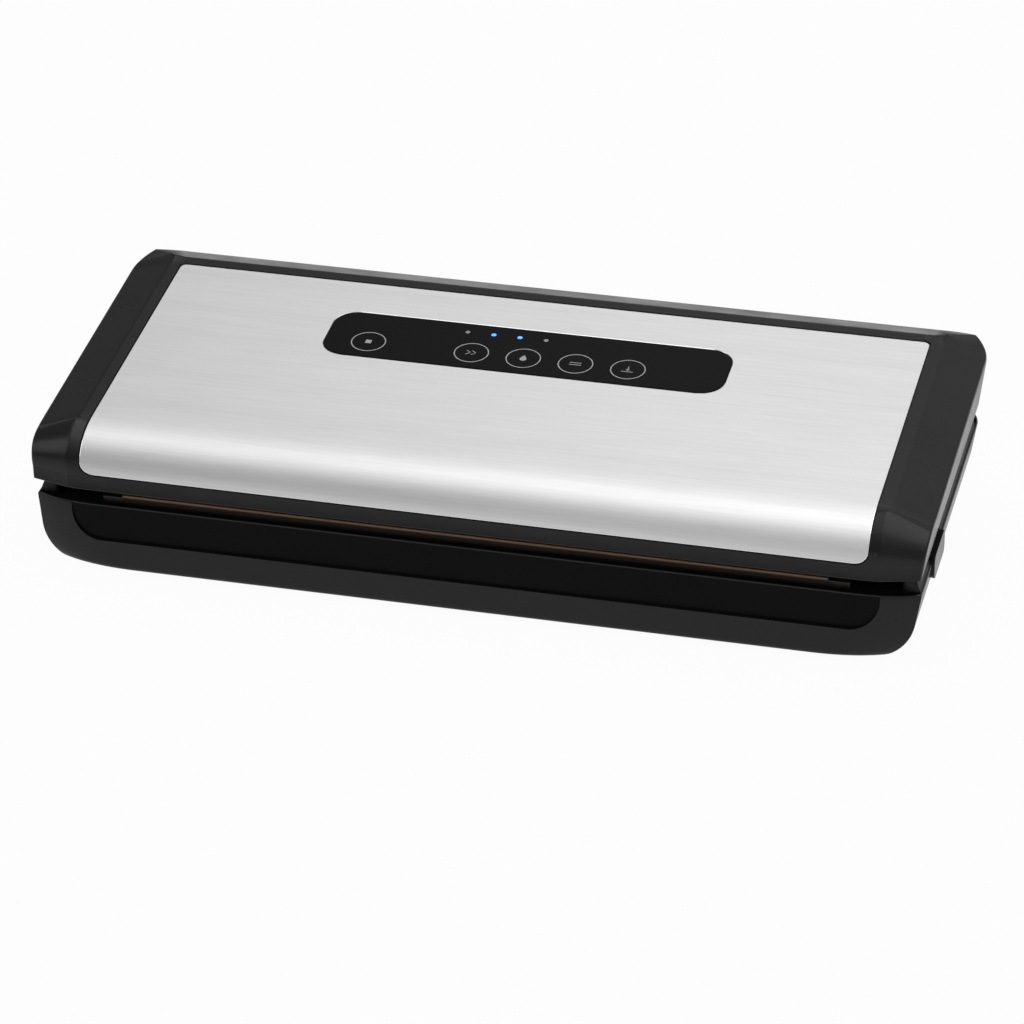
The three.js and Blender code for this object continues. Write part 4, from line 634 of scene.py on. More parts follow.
def rear_mitres(bm):
    """Score the lines where the side bands meet the rear band."""
    for side in (-1, 1):
        marks = [Vector((side * u, v_of(y))) for u, y in zip(SIDE_BAND, REAR_BAND)]
        for band, (start, end) in enumerate(zip(marks, marks[1:])):
            way = end - start
            cell = [
                face for face in bm.faces
                if SIDE_BAND[band] < middle_of(face).x * side < SIDE_BAND[band + 1]
                and start.y < middle_of(face).y < end.y
            ]
            score(bm, start, (-way.y, way.x), faces=cell)


def wall_way(point):
    """Outward direction of the lid's side or rear wall at a point, as if it lay in the right half."""
    past = Vector((abs(point.x) - LID_HALF + CORNER, point.y - LID_BACK + CORNER, 0))
    if past.y <= 0:
        return Vector((1, 0, 0))
    return past.normalized() if past.x > 0 else Vector((0, 1, 0))


def lid_blank():
    """The lid's flat sheet with its lines scored, and the faces of the cover's seat."""
    bm = flat_sheet(-LID_HALF, LID_HALF, 0, v_of(LID_BACK))
    for band_u in SIDE_BAND[:2]:
        for side in (-1, 1):
            score(bm, (side * band_u, 0), (1, 0))
    for band_y in REAR_BAND[:2]:
        score(bm, (0, v_of(band_y)), (0, 1))
    roll_lines(bm)
    rear_mitres(bm)
    for quarter, side in ((0, 1), (1, -1)):
        trim_corner(bm, (side * (LID_HALF - CORNER), v_of(LID_BACK) - CORNER), CORNER, quarter, 12)
    foot, radii = V_ROLL + COVER_FOOT - SEAM, [radius + SEAM for radius in COVER_RADII]
    return bm, scored_window(bm, PANEL_HALF + SEAM, foot, v_of(PANEL_BACK + SEAM), *radii)


def merge_doubles(bm, weights):
    """Merge doubled verts; where edges fall together, the heaviest bevel weight stays."""
    def ends(edge):
        return frozenset(tuple(round(c, 3) for c in vert.co) for vert in edge.verts)

    heaviest = {}
    for edge in bm.edges:
        heaviest[ends(edge)] = max(edge[weights], heaviest.get(ends(edge), 0.0))
    bmesh.ops.remove_doubles(bm, verts=bm.verts, dist=1e-3)
    for edge in bm.edges:
        edge[weights] = heaviest.get(ends(edge), 0.0)


def make_whole(bm):
    """Join the strips of each side wall, so that the roundings along its edges have room."""
    bm.normal_update()
    side = {face for face in bm.faces if abs(face.normal.x) > 0.9}
    seams = [edge for edge in bm.edges if len(edge.link_faces) == 2 and side.issuperset(edge.link_faces)]
    level = math.radians(2)
    bmesh.ops.dissolve_limit(bm, angle_limit=level, use_dissolve_boundaries=True, verts=[], edges=seams)
    spare = [vert for vert in bm.verts if len(vert.link_edges) == 2 and abs(vert.co.x) > LID_HALF - CORNER]
    bmesh.ops.dissolve_limit(bm, angle_limit=level, use_dissolve_boundaries=True, verts=spare, edges=[])


def weigh_lines(bm, weights):
    """Bevel weights of the flat sheet: its outline, the bends of its bands and the seat's rim."""
    bend_u, bend_v = SIDE_BAND[1], v_of(REAR_BAND[1])
    for edge in bm.edges:
        spots = [(abs(vert.co.x), vert.co.y) for vert in edge.verts]
        on_side = all(abs(u - bend_u) < 1e-3 and v < bend_v + 0.01 for u, v in spots)
        on_rear = all(abs(v - bend_v) < 1e-3 and u < bend_u + 0.01 for u, v in spots)
        if edge.is_boundary:
            edge[weights] = 1.0
        elif on_side or on_rear:
            edge[weights] = 0.9
        elif max(vert.co.z for vert in edge.verts) > -1e-6 and edge.calc_face_angle(0) > 1:
            edge[weights] = 0.25


def turn_down(bm, wall, feet, weights):
    """Draw the side and rear walls down, first upright and then leaning in to the lip."""
    least = 1.6  # a shorter upright step is left out
    for level in ("upright", "lip"):
        drawn = bmesh.ops.extrude_edge_only(bm, edges=wall)
        wall = new_edges(drawn)
        for vert in new_verts(drawn):
            if level == "lip" and vert.co.z < ROLL_Z + 0.01:
                vert.co = min(feet, key=lambda foot: (foot.co - vert.co).length).co
                continue
            height = vert.co.z if vert.co.z < LEAN_FROM + least else LEAN_FROM
            if level == "lip":
                height = LIP
            in_by = lean(height) - lean(vert.co.z)
            way = wall_way(vert.co)
            vert.co.x -= math.copysign(way.x * in_by, vert.co.x)
            vert.co.y -= way.y * in_by
            vert.co.z = height
        for edge in wall:
            on_rim = all(abs(vert.co.z - LEAN_FROM) > 1e-3 for vert in edge.verts)
            edge[weights] = 0.35 if level == "lip" else float(on_rim)


def lid_shell(lid):
    """Sink the cover's seat into the sheet, press it, and turn its walls down."""
    bm, field = lid_blank()
    drawn = bmesh.ops.extrude_face_region(bm, geom=field)
    bmesh.ops.translate(bm, vec=(0, 0, -RECESS), verts=new_verts(drawn))
    bmesh.ops.delete(bm, geom=field, context="FACES")
    bm.normal_update()
    weights = bm.edges.layers.float.new("bevel_weight_edge")
    weigh_lines(bm, weights)

    rim = open_edges(bm)
    highest = {edge: max(vert.co.y for vert in edge.verts) for edge in rim}
    front_lip = [edge for edge in rim if highest[edge] < 1e-4]
    posts = [edge for edge in rim if 1e-4 <= highest[edge] < V_ROLL + 1e-4]
    feet = [vert for edge in posts for vert in edge.verts if vert.co.y < 1e-4]
    press(bm)
    turn_down(bm, [edge for edge in rim if edge not in front_lip and edge not in posts], feet, weights)
    for edge in front_lip:
        edge[weights] = 0.5
    merge_doubles(bm, weights)
    make_whole(bm)
    point_outwards(bm)
    made = piece("lid_shell", bm, finishes["case"], "lid", ["lid_frame"], crease=50)
    walled(made, lid.wall)
    edged(made, lid.edge_radius, 4, by_weight=True)


def steel_cover(lid):
    """The cover: trimmed flat, with the strip's opening punched, then rolled over the front curve."""
    foot, top = V_ROLL + COVER_FOOT, v_of(PANEL_BACK)
    bm = flat_sheet(-PANEL_HALF, PANEL_HALF, foot, top)
    roll_lines(bm)
    front, rear = COVER_RADII
    for quarter, side in enumerate((1, -1, -1, 1)):
        radius, v = (rear, top - rear) if quarter < 2 else (front, foot + front)
        trim_corner(bm, (side * (PANEL_HALF - radius), v), radius, quarter, 8)
    middle = v_of(STRIP_Y)
    reach = (STRIP_LENGTH / 2 + SEAM) * math.cos(TILT)
    radius = STRIP_RADIUS + SEAM
    opening = scored_window(bm, STRIP_HALF + SEAM, middle - reach, middle + reach, radius, radius, 10)
    bmesh.ops.delete(bm, geom=opening, context="FACES")
    thicken(bm, -lid.cover_thickness)
    # The rounded cut edges take the paler edge finish, partly a painted highlight.
    for face in turned_over(bm, COVER_EDGE, 3):
        face.material_index = 1
    bmesh.ops.translate(bm, vec=(0, 0, -PANEL_SINK), verts=bm.verts)
    press(bm)
    both = [finishes["steel"], finishes["cut_edge"]]
    piece("steel_cover", bm, both, "lid", ["steel_panel"], crease=12)


# ---------------------------------------------------------------- controls

STRIP_HALF = 88.0
STRIP_LENGTH = 34.5
STRIP_RADIUS = 10.0
STRIP_Y = LID_BACK - 44.8 - STRIP_LENGTH / 2 * math.cos(TILT)
STRIP_Z = ROLL_Z + (ROLL - PANEL_SINK) / math.cos(TILT) + SLOPE * (STRIP_Y - ROLL_Y)
STRIP_PROUD = 0.2
STRIP_THICKNESS = 1.0
STRIP_EDGE = 0.12
KEY_RADIUS = 7.75
KEY_ROW = -5.5
KEY_GAP = 0.15
KEY_PROUD = 0.02
KEY_SKIRT = 1.4
RING_WIDTH = 0.48
LAMP_ROW = 10.6
LAMP_RADIUS = 1.1
LAMP_GAP = 0.1
KEYS = {"stop_key": -68.9, "speed_key": -23.1, "food_key": -0.15, "seal_key": 22.8, "vacuum_seal_key": 45.75}
LAMPS = {"lamp_1": -28.8, "lamp_2": -17.2, "lamp_3": -5.6, "lamp_4": 6.0}
LIT = ("lamp_2", "lamp_3")

# Plain signs in place of words, as bars of middle, length, width and turn: a square, two wedges, two
# lines, and a line under an arrow. The food key's sign is a drop.
SIGN_TURN = 0.75
SIGNS = {
    "stop_key": [(0, 0, 2.6, 2.6, 0)],
    "speed_key": [
        (x, 0.75 * half, 2.5, 0.34, -half * SIGN_TURN) for x in (-1.3, 1.1) for half in (1, -1)
    ],
    "seal_key": [(0, 0.8, 5.2, 0.4, 0), (0, -0.8, 5.2, 0.4, 0)],
    "vacuum_seal_key": [
        (0, -1.8, 5.2, 0.4, 0), (0, 0.6, 0.4, 3.2, 0),
        (-0.475, -0.425, 0.95, 0.35, -SIGN_TURN), (0.475, -0.425, 0.95, 0.35, SIGN_TURN),
    ],
}
SIGN_THICKNESS = 0.04


def onto_strip(bm, x=0.0, y=0.0, z=0.0):
    """Move a shape made about the origin to its place on the strip."""
    turn = Matrix.Translation((0, STRIP_Y, STRIP_Z)) @ Matrix.Rotation(TILT, 4, "X")
    bmesh.ops.transform(bm, matrix=turn @ Matrix.Translation((x, y, z)), verts=bm.verts)


def control_strip():
    """A flat plate with the holes for the keys and lamps filled round, then drawn down."""
    bm = rounded_plate(STRIP_HALF, STRIP_LENGTH, STRIP_RADIUS, 10)
    bmesh.ops.delete(bm, geom=bm.faces[:], context="FACES_ONLY")
    for places, row, segments, radius in (
        (KEYS, KEY_ROW, 64, KEY_RADIUS + KEY_GAP), (LAMPS, LAMP_ROW, 24, LAMP_RADIUS + LAMP_GAP),
    ):
        for x in places.values():
            place = Matrix.Translation((x, row, 0))
            bmesh.ops.create_circle(bm, segments=segments, radius=radius, matrix=place)
    bmesh.ops.triangle_fill(bm, use_beauty=True, use_dissolve=False, edges=bm.edges[:], normal=(0, 0, 1))
    thicken(bm, -STRIP_THICKNESS)
    turned_over(bm, STRIP_EDGE, 2)
    onto_strip(bm, z=STRIP_PROUD)
    piece("control_plate", bm, finishes["gloss"], "lid", ["control_strip"], crease=15)


def key_sign(bm, name, height):
    """The key's raised sign, with its near side on the key's face."""
    for x, y, length, width, turn in SIGNS.get(name, ()):
        made = bmesh.ops.create_cube(bm, size=1)["verts"]
        bmesh.ops.scale(bm, vec=(length, width, SIGN_THICKNESS), verts=made)
        place = Matrix.Translation((x, y, height)) @ Matrix.Rotation(turn, 4, "Z")
        bmesh.ops.transform(bm, matrix=place, verts=made)
    if name == "food_key":
        for vert in bmesh.ops.create_circle(bm, cap_ends=True, segments=28, radius=1.5)["verts"]:
            if vert.co.y > 0:
                vert.co.y *= 1.9
                vert.co.x *= max(0.0, 1 - vert.co.y / 2.95) ** 0.55
            vert.co.y -= 0.5
            vert.co.z = height + SIGN_THICKNESS / 2


def control_keys(lid):
    """Round caps flush with the strip, each with a pale ring printed near its edge."""
    for name, x in KEYS.items():
        bm = bmesh.new()
        bmesh.ops.create_circle(bm, cap_ends=True, segments=64, radius=KEY_RADIUS)
        face = bm.faces[:]
        for step in (KEY_RADIUS - lid.ring_radius - RING_WIDTH / 2, RING_WIDTH):
            bmesh.ops.inset_region(bm, faces=face, thickness=step, use_boundary=True, use_even_offset=True)
            face = [max(bm.faces, key=lambda f: len(f.verts))]
        for ring in bm.faces:
            if abs(middle_of(ring).length - lid.ring_radius) < 0.2:
                ring.material_index = 1
        bm.normal_update()
        drawn = bmesh.ops.extrude_edge_only(bm, edges=open_edges(bm))
        bmesh.ops.translate(bm, vec=(0, 0, -KEY_SKIRT), verts=new_verts(drawn))
        bmesh.ops.holes_fill(bm, edges=open_edges(bm), sides=0)
        point_outwards(bm)
        first = len(bm.faces)
        key_sign(bm, name, 0.015)
        bm.faces.ensure_lookup_table()
        for mark in bm.faces[first:]:
            mark.material_index = 1
        onto_strip(bm, x, KEY_ROW, STRIP_PROUD + KEY_PROUD)
        piece(name + "_cap", bm, [finishes["gloss"], finishes["mark"]], name, [name], crease=15)


def control_lamps():
    """Small domed lenses over the lamps, the middle two lit."""
    radius = LAMP_RADIUS - 0.02
    for name, x in LAMPS.items():
        bm = lathed([(0, 0.16), (0.45, 0.13), (0.85, 0.04), (radius, -0.1), (radius, -1.2), (0, -1.2)], 24)
        onto_strip(bm, x, LAMP_ROW, STRIP_PROUD)
        state = "lamp_lit" if name in LIT else "lamp_off"
        piece(name + "_lens", bm, finishes[state], "lid", [name])


# ---------------------------------------------------------------- tub

(_, _, TUB_FOOT), (BASE_HALF, BASE_BACK, RIM) = extent("base_tub")
BASE_FRONT = LID_FRONT + 4
FRONT_LEAN = 5.5  # how far the front comes forward from the rim to the foot
END_LEAN = 4.5  # how far the ends draw in from the rim to the foot
END_ROUND = 18.0  # radius between the ends and the underside
EASE = 2.5  # rounding of the front's and the rear's lower edge
BOW = 4.5  # how far the front lies back at its ends
BOW_HANDLE = 0.4  # the bow's middle control point, as a share of its length from the end
BASE_CORNER = 17.5
LONG_STEPS, END_STEPS, BOW_STEPS, CORNER_STEPS = 30, 14, 10, 12
RIM_ROUND = 0.8
RIM_HIGHLIGHT_BAND = 0.8  # height of the band under the rim kept in the case finish, which reads as a painted highlight line above the scoop's darker face
SCOOP_HALF = BASE_HALF - 16.5
SCOOP_FOOT = TUB_FOOT + 12.8
SCOOP_RADIUS = 13.0
SCOOP_TOP = 0.25  # depth of the scoop at the rim
ABOVE = 20.0  # how far the scoop's cutter stands over the rim
AHEAD = 60.0  # and how far it reaches in front of the tub
LATCH_Y = LID_FRONT + 46
LATCH_WINDOW = (175.0, 197.0, 12.8, 8.1, 5.0)  # inner and outer reach, half length, under and over the rim
SCREW_WELLS = ((110, -70), (162, 50))
WELL_RADIUS = 3.3
VENTS = (5, 7, 6)  # the first vent's place, the step between vents, and their number
VENT_SIZE = (52, 68, 2.5)  # from, to, and width
CORD_HOLE = (-150, 18, 4.8)  # across, up, and radius
CLEAR = 8.0  # how far the other cutters reach past what they cut


def front_lean(z):
    return FRONT_LEAN * (RIM - z) / (RIM - TUB_FOOT)


def quarter_round(radius, past):
    """How far a rounding has drawn in at a distance past its start."""
    return radius - math.sqrt(max(radius**2 - max(past, 0) ** 2, 0))


def rim_ease(z):
    return quarter_round(RIM_ROUND, RIM_ROUND - (RIM - z))


def tub_outline(half, z):
    """The tub's outline at a level, as points at fixed shares of the way round."""
    ease = quarter_round(EASE, EASE - (z - TUB_FOOT)) + rim_ease(z)
    front = BASE_FRONT - front_lean(z) + ease
    back = BASE_BACK - ease
    points = []

    def line(a, b, count):
        for k in range(count):
            points.append((a[0] + (b[0] - a[0]) * k / count, a[1] + (b[1] - a[1]) * k / count))

    def bow(side, away):
        across, along = (half - BOW_LENGTH, half - BOW_LENGTH * BOW_HANDLE, half), (front, front, front + BOW)
        for k in range(BOW_STEPS):
            t = k / BOW_STEPS if away else 1 - k / BOW_STEPS
            x, y = ((1 - t) ** 2 * a + 2 * t * (1 - t) * b + t**2 * c for a, b, c in (across, along))
            points.append((side * x, y))

    def corner(side, start):
        for k in range(CORNER_STEPS):
            angle = start + math.pi / 2 * k / CORNER_STEPS
            points.append((
                side * (half - BASE_CORNER) + BASE_CORNER * math.cos(angle),
                back - BASE_CORNER + BASE_CORNER * math.sin(angle),
            ))

    line((-half + BOW_LENGTH, front), (half - BOW_LENGTH, front), LONG_STEPS)
    bow(1, True)
    line((half, front + BOW), (half, back - BASE_CORNER), END_STEPS)
    corner(1, 0)
    line((half - BASE_CORNER, back), (-half + BASE_CORNER, back), LONG_STEPS)
    corner(-1, math.pi / 2)
    line((-half, back - BASE_CORNER), (-half, front + BOW), END_STEPS)
    bow(-1, False)
    return points


def tub_levels(steps=16):
    """Half width and level of each ring from the foot up the rounded ends to the rim."""
    angle = math.atan(END_LEAN / (RIM - TUB_FOOT))

    def wall_at(z):
        return BASE_HALF - math.tan(angle) * (RIM - z)

    tangent = TUB_FOOT + END_ROUND * (1 - math.sin(angle))
    middle = wall_at(tangent) - END_ROUND * math.cos(angle)
    for step in range(steps + 1):
        turn = (math.pi / 2 - angle) * step / steps
        yield middle + END_ROUND * math.sin(turn), TUB_FOOT + END_ROUND * (1 - math.cos(turn))
    yield wall_at((tangent + RIM) / 2), (tangent + RIM) / 2
    for over in (0, 0.35, 0.65, 0.88, 1):
        z = RIM - RIM_ROUND * (1 - over)
        yield wall_at(z) - rim_ease(z), z


def bow_at(x, half):
    """How far the tub's front bows back at a distance from its middle."""
    past = max(abs(x) - half + BOW_LENGTH, 0)
    near, far = 2 * (1 - BOW_HANDLE) * BOW_LENGTH, (1 - 2 * BOW_HANDLE) * BOW_LENGTH
    share = (near - math.sqrt(max(near**2 - 4 * far * past, 0))) / (2 * far)
    return BOW * share**2


def scoop_plane(x, z, depth):
    """Where the scoop's face lies at a distance from the middle and a level."""
    share = (RIM - z) / (RIM - SCOOP_FOOT)
    rest = depth - SCOOP_TOP - front_lean(SCOOP_FOOT)
    return BASE_FRONT + SCOOP_TOP + bow_at(x, BASE_HALF) + rest * share


def scoop_cutter(depth):
    """The finger scoop's shape: rounded below, open above, and leaning out of the wall upwards."""
    bm = rounded_plate(SCOOP_HALF, 2 * (RIM + ABOVE - SCOOP_FOOT), SCOOP_RADIUS, 12)
    for step in range(9):
        for side in (-1, 1):
            score(bm, (side * (BASE_HALF - BOW_LENGTH + 1.5 * step), 0), (1, 0))
    score(bm, (0, -ABOVE - RIM_HIGHLIGHT_BAND), (0, 1))
    bmesh.ops.rotate(bm, matrix=Matrix.Rotation(math.pi / 2, 3, "X"), verts=bm.verts)
    bmesh.ops.translate(bm, vec=(0, 0, RIM + ABOVE), verts=bm.verts)
    drawn = bmesh.ops.extrude_face_region(bm, geom=bm.faces[:])
    bmesh.ops.translate(bm, vec=(0, -AHEAD, 0), verts=new_verts(drawn))
    for vert in bm.verts:
        ahead = vert.co.y < -AHEAD / 2
        vert.co.y = BASE_FRONT - AHEAD if ahead else scoop_plane(vert.co.x, vert.co.z, depth)
    bmesh.ops.recalc_face_normals(bm, faces=bm.faces)
    return scene_object("cutter", bm)


def round_cutter(x, y, z0, z1, radius, tilt_x=0.0):
    bm = bmesh.new()
    bmesh.ops.create_cone(
        bm, cap_ends=True, segments=32, radius1=radius, radius2=radius, depth=z1 - z0,
        matrix=Matrix.Translation((x, y, (z0 + z1) / 2)) @ Matrix.Rotation(tilt_x, 4, "X"),
    )
    return scene_object("cutter", bm)


def vent_cutter(x):
    """A slot through the tub's floor, with round ends, that runs front to back."""
    y0, y1, width = VENT_SIZE
    bm = rounded_plate(width / 2, y1 - y0, width / 2 - 0.01, 6)
    bmesh.ops.translate(bm, vec=(x + width / 2, (y0 + y1) / 2, CLEAR), verts=bm.verts)
    thicken(bm, -CLEAR)
    return scene_object("cutter", bm)


def window_cutter(side):
    """The opening for a release button, at the rim of one end."""
    inner, outer, half, under, over = LATCH_WINDOW
    low, high = (-outer, -inner) if side < 0 else (inner, outer)
    bm = flat_sheet(low, high, LATCH_Y - half, LATCH_Y + half)
    bmesh.ops.translate(bm, vec=(0, 0, RIM + over), verts=bm.verts)
    thicken(bm, -over - under)
    return scene_object("cutter", bm)


def base_tub(base):
    """Draw the tub down from its rim, ring by ring, give it a wall, and cut its openings."""
    levels = list(tub_levels())
    outline = tub_outline(*levels[-1])
    bm = bmesh.new()
    ring = bmesh.ops.create_circle(bm, segments=len(outline), radius=BASE_HALF)["verts"]
    for vert, (x, y) in zip(ring, outline):
        vert.co = (x, y, RIM)
    order = {vert: number for number, vert in enumerate(ring)}
    edges = bm.edges[:]
    for half, z in reversed(levels[:-1]):
        outline = tub_outline(half, z)
        drawn = bmesh.ops.extrude_edge_only(bm, edges=edges)
        edges, lower = new_edges(drawn), {}
        for vert in new_verts(drawn):
            near = (edge.other_vert(vert) for edge in vert.link_edges)
            lower[vert] = next(order[other] for other in near if other in order)
            vert.co = (*outline[lower[vert]], z)
        order = lower
    foot = [edge for edge in open_edges(bm) if edge.verts[0].co.z < TUB_FOOT + 1]
    bmesh.ops.holes_fill(bm, edges=foot, sides=0)
    point_outwards(bm, Vector((0, 0, -1)))
    both = [finishes["case"], finishes["scoop"]]
    made = piece("tub_shell", bm, both, "base", ["base_tub"], crease=40)
    walled(made, base.wall)
    cutters = [scoop_cutter(base.scoop_depth)]
    for side in (-1, 1):
        cutters.append(window_cutter(side))
        cutters.extend(round_cutter(side * x, y, 0, CLEAR, WELL_RADIUS) for x, y in SCREW_WELLS)
    first, step, count = VENTS
    cutters.extend(vent_cutter(first + step * number) for number in range(count))
    across, up, radius = CORD_HOLE
    cutters.append(round_cutter(across, BASE_BACK, up - CLEAR, up + CLEAR, radius, math.pi / 2))
    cut_out(made, cutters)
    # Faces of the scoop below the rim's band take the darker finish: painted shade in the recess.
    for polygon in made.data.polygons:
        middle, facing = polygon.center / MM, polygon.normal
        framed = SCOOP_FOOT < middle.z < RIM - RIM_HIGHLIGHT_BAND and abs(middle.x) < SCOOP_HALF
        if framed and facing.y < -0.9 and facing.z < 0.14:
            if abs(middle.y - scoop_plane(middle.x, middle.z, base.scoop_depth)) < 0.1:
                polygon.material_index = 1
    smoothed(made.data, 35)
    edged(made, 0.35, 2, 42)


def feet():
    """Turned rubber feet with a rounded tread and a shallow dish."""
    profile = [
        (0, 0.5), (4.8, 0.45), (5.6, 0.05), (6.4, 0), (7.2, 0.25), (7.7, 0.9), (8, 2.2), (7.6, 2.45),
        (2.5, 2.5), (2.5, 5.9), (2.1, 6.4), (0, 6.5),
    ]
    for row in ("front", "rear"):
        for side in ("left", "right"):
            node = f"foot_{row}_{side}"
            (x0, y0, z0), (x1, y1, _) = extent(node)
            bm = lathed(profile, 48)
            bmesh.ops.translate(bm, vec=((x0 + x1) / 2, (y0 + y1) / 2, z0), verts=bm.verts)
            piece(f"rubber_{node}", bm, finishes["rubber"], "base", [node])


# ---------------------------------------------------------------- the rest of the visible pieces


def deck_and_liner():
    softened("base_deck", "deck_moulding", "inner", "base", 0.5, 3)
    softened("lid_liner", "liner_moulding", "inner", "lid", 0.5, 3)


def gaskets():
    softened("lower_gasket", "foam_ring_lower", "foam", "base", 1.4, 4)
    softened("upper_gasket", "foam_ring_upper", "foam", "lid", 1.4, 4)


def seal_bar():
    softened("seal_bar", "heater_bar", "bakelite", "base", 0.5, 3)
    softened("ptfe_tape", "slip_tape", "cloth", "base", 0.3, 3)
    softened("press_strip", "press_pad", "silicone", "lid", 0.8, 4)


def return_spring(name):
    """A coil spring: a copy of the frame's own, with a mesh of its own."""
    node = f"release_spring_{name}"
    made = piece(f"return_spring_{name}", merged_copy(node), finishes["zinc"], "base", [node])
    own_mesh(made)


def latches():
    for name in ("left", "right"):
        body = f"release_{name}"
        softened(f"release_button_{name}", f"release_pad_{name}", "case", body, 0.7, 4, 40)
        softened(f"lid_hook_{name}", f"hook_{name}", "inner", "lid", 0.3, 2)
        softened(f"latch_catch_{name}", f"catch_{name}", "inner", body, 0.3, 2)
        return_spring(name)


SLOT_FINISH = {
    "case": "inner", "steel_cover": "steel", "gloss_strip": "gloss", "key_cap": "gloss",
    "lamp_off": "lamp_off", "lamp_lit": "lamp_lit", "foam": "foam", "foot_rubber": "rubber",
    "silicone": "silicone", "ptfe_cloth": "cloth", "bakelite": "bakelite", "heater_alloy": "alloy",
    "zinc_steel": "zinc", "motor_can": "can", "clear_plastic": "tube", "winding": "winding",
    "circuit_board": "board", "red_lead": "lead", "white_plastic": "white",
}


def dress_frame():
    """Give every node of the frame the procedural finish of its own slot."""
    for part in frame["record"]["subparts"]:
        finish = finishes[SLOT_FINISH[part["material_slot"]]]
        mesh = frame["nodes"][part["node"]].data
        if not mesh.materials:
            mesh.materials.append(finish)
        for number in range(len(mesh.materials)):
            mesh.materials[number] = finish


# ---------------------------------------------------------------- studio


def studio_world(stage):
    """An even surround: plain white as it is seen, and mirrored darker low down and at the left."""
    world = bpy.data.worlds.new("studio")
    bpy.context.scene.world = world
    world.use_nodes = True
    nodes = Nodes(world.node_tree)
    background = nodes.tree.nodes["Background"]
    nodes.put(background, "Strength", nodes.ranged(nodes.seen(), stage.ambient, stage.surround, 0, 1))
    way = nodes.add("ShaderNodeTexCoord").outputs["Generated"]
    across = nodes.add("ShaderNodeSeparateXYZ", {"Vector": way}).outputs
    shade = nodes.ranged(across["X"], 0.45, 1.0, -0.33, -0.19)
    rise = nodes.ranged(across["Z"], stage.wall, 1.0, 0.45, 0.85, interpolation_type="SMOOTHSTEP")
    mirrored = nodes.math("MULTIPLY", shade, rise)
    camera_ray = nodes.add("ShaderNodeLightPath").outputs["Is Camera Ray"]
    paper = nodes.between(nodes.math("MAXIMUM", camera_ray, mirrored), (0, 0, 0), (1, 1, 1))
    nodes.put(background, "Color", paper)


def soft_lamp(name, place, target, size, strength):
    light = bpy.data.lights.new(name, "AREA")
    light.shape = "RECTANGLE"
    light.size, light.size_y = size
    light.energy = strength
    lamp = linked(name, light)
    lamp.location = place
    lamp.rotation_euler = (Vector(target) - Vector(place)).to_track_quat("-Z", "Y").to_euler()


def floor(stage):
    """A white floor that is mostly lifted to plain white as it is seen, with faint shadows left."""
    bm = bmesh.new()
    bmesh.ops.create_grid(bm, x_segments=1, y_segments=1, size=6 / MM)
    made = scene_object("floor", bm)
    white = Finish("floor_white", stage.floor, 0.9, Specular_IOR_Level=0.0)
    white.tone(white.noise(3), 0.01)
    glow = white.add("ShaderNodeEmission", {"Color": (1, 1, 1, 1), "Strength": 1.0})
    lift = white.math("MULTIPLY", white.seen(), stage.floor_lift)
    sockets = {"Fac": lift, 1: white.shader.outputs["BSDF"], 2: glow.outputs["Emission"]}
    mix = white.add("ShaderNodeMixShader", sockets)
    white.put(white.tree.nodes["Material Output"], "Surface", mix.outputs["Shader"])
    made.data.materials.append(white.material)


def studio_camera():
    azimuth, elevation, roll = math.radians(14.74), math.radians(31.52), math.radians(-1.23)
    distance = 1.88805
    target = Vector((0.01931, -0.0805, 0.05117))
    out = math.cos(elevation)
    back = Vector((math.sin(azimuth) * out, -math.cos(azimuth) * out, math.sin(elevation)))
    across = (-back).cross(Vector((0, 0, 1))).normalized()
    up = across.cross(-back)
    right = math.cos(roll) * across + math.sin(roll) * up
    above = -math.sin(roll) * across + math.cos(roll) * up
    lens = bpy.data.cameras.new("camera")
    lens.sensor_fit = "HORIZONTAL"
    lens.sensor_width = 36
    lens.lens = 4594.27 / 1024 * 36
    lens.clip_end = 50
    camera = linked("camera", lens)
    turn = Matrix((right, above, back)).transposed().to_4x4()
    camera.matrix_world = Matrix.Translation(target + back * distance) @ turn
    bpy.context.scene.camera = camera


def make_stage(stage):
    studio_camera()
    floor(stage)
    studio_world(stage)
    soft_lamp("key", (0.6, 0.5, 1.9), (0.6, 0.5, 0.0), (3.4, 2.5), stage.key)
    soft_lamp("fill", (-1.6, -0.8, 1.1), (0, 0, 0.05), (1.2, 1.2), stage.fill)
    bpy.context.scene.view_settings.view_transform = "Standard"


# ---------------------------------------------------------------- settings


class SEALER_PG_lid(bpy.types.PropertyGroup):
    wall: FloatProperty(
        name="Wall", description="Thickness of the lid's moulded wall, in millimetres",
        default=2.2, min=1, max=4,
    )
    edge_radius: FloatProperty(
        name="Edge radius", description="Rounding of the lid's outer edge, in millimetres",
        default=1.1, min=0.2, max=3,
    )
    cover_thickness: FloatProperty(
        name="Cover", description="Thickness of the steel cover, in millimetres",
        default=0.8, min=0.3, max=1.5,
    )
    ring_radius: FloatProperty(
        name="Ring radius", description="Radius of the ring printed on each key, in millimetres",
        default=7.38, min=4, max=7.45,
    )


class SEALER_PG_base(bpy.types.PropertyGroup):
    wall: FloatProperty(
        name="Wall", description="Thickness of the tub's wall, in millimetres", default=2.5, min=1, max=4
    )
    scoop_depth: FloatProperty(
        name="Scoop depth", description="Depth of the finger scoop at its foot, in millimetres",
        default=1.6, min=0, max=2.4,
    )


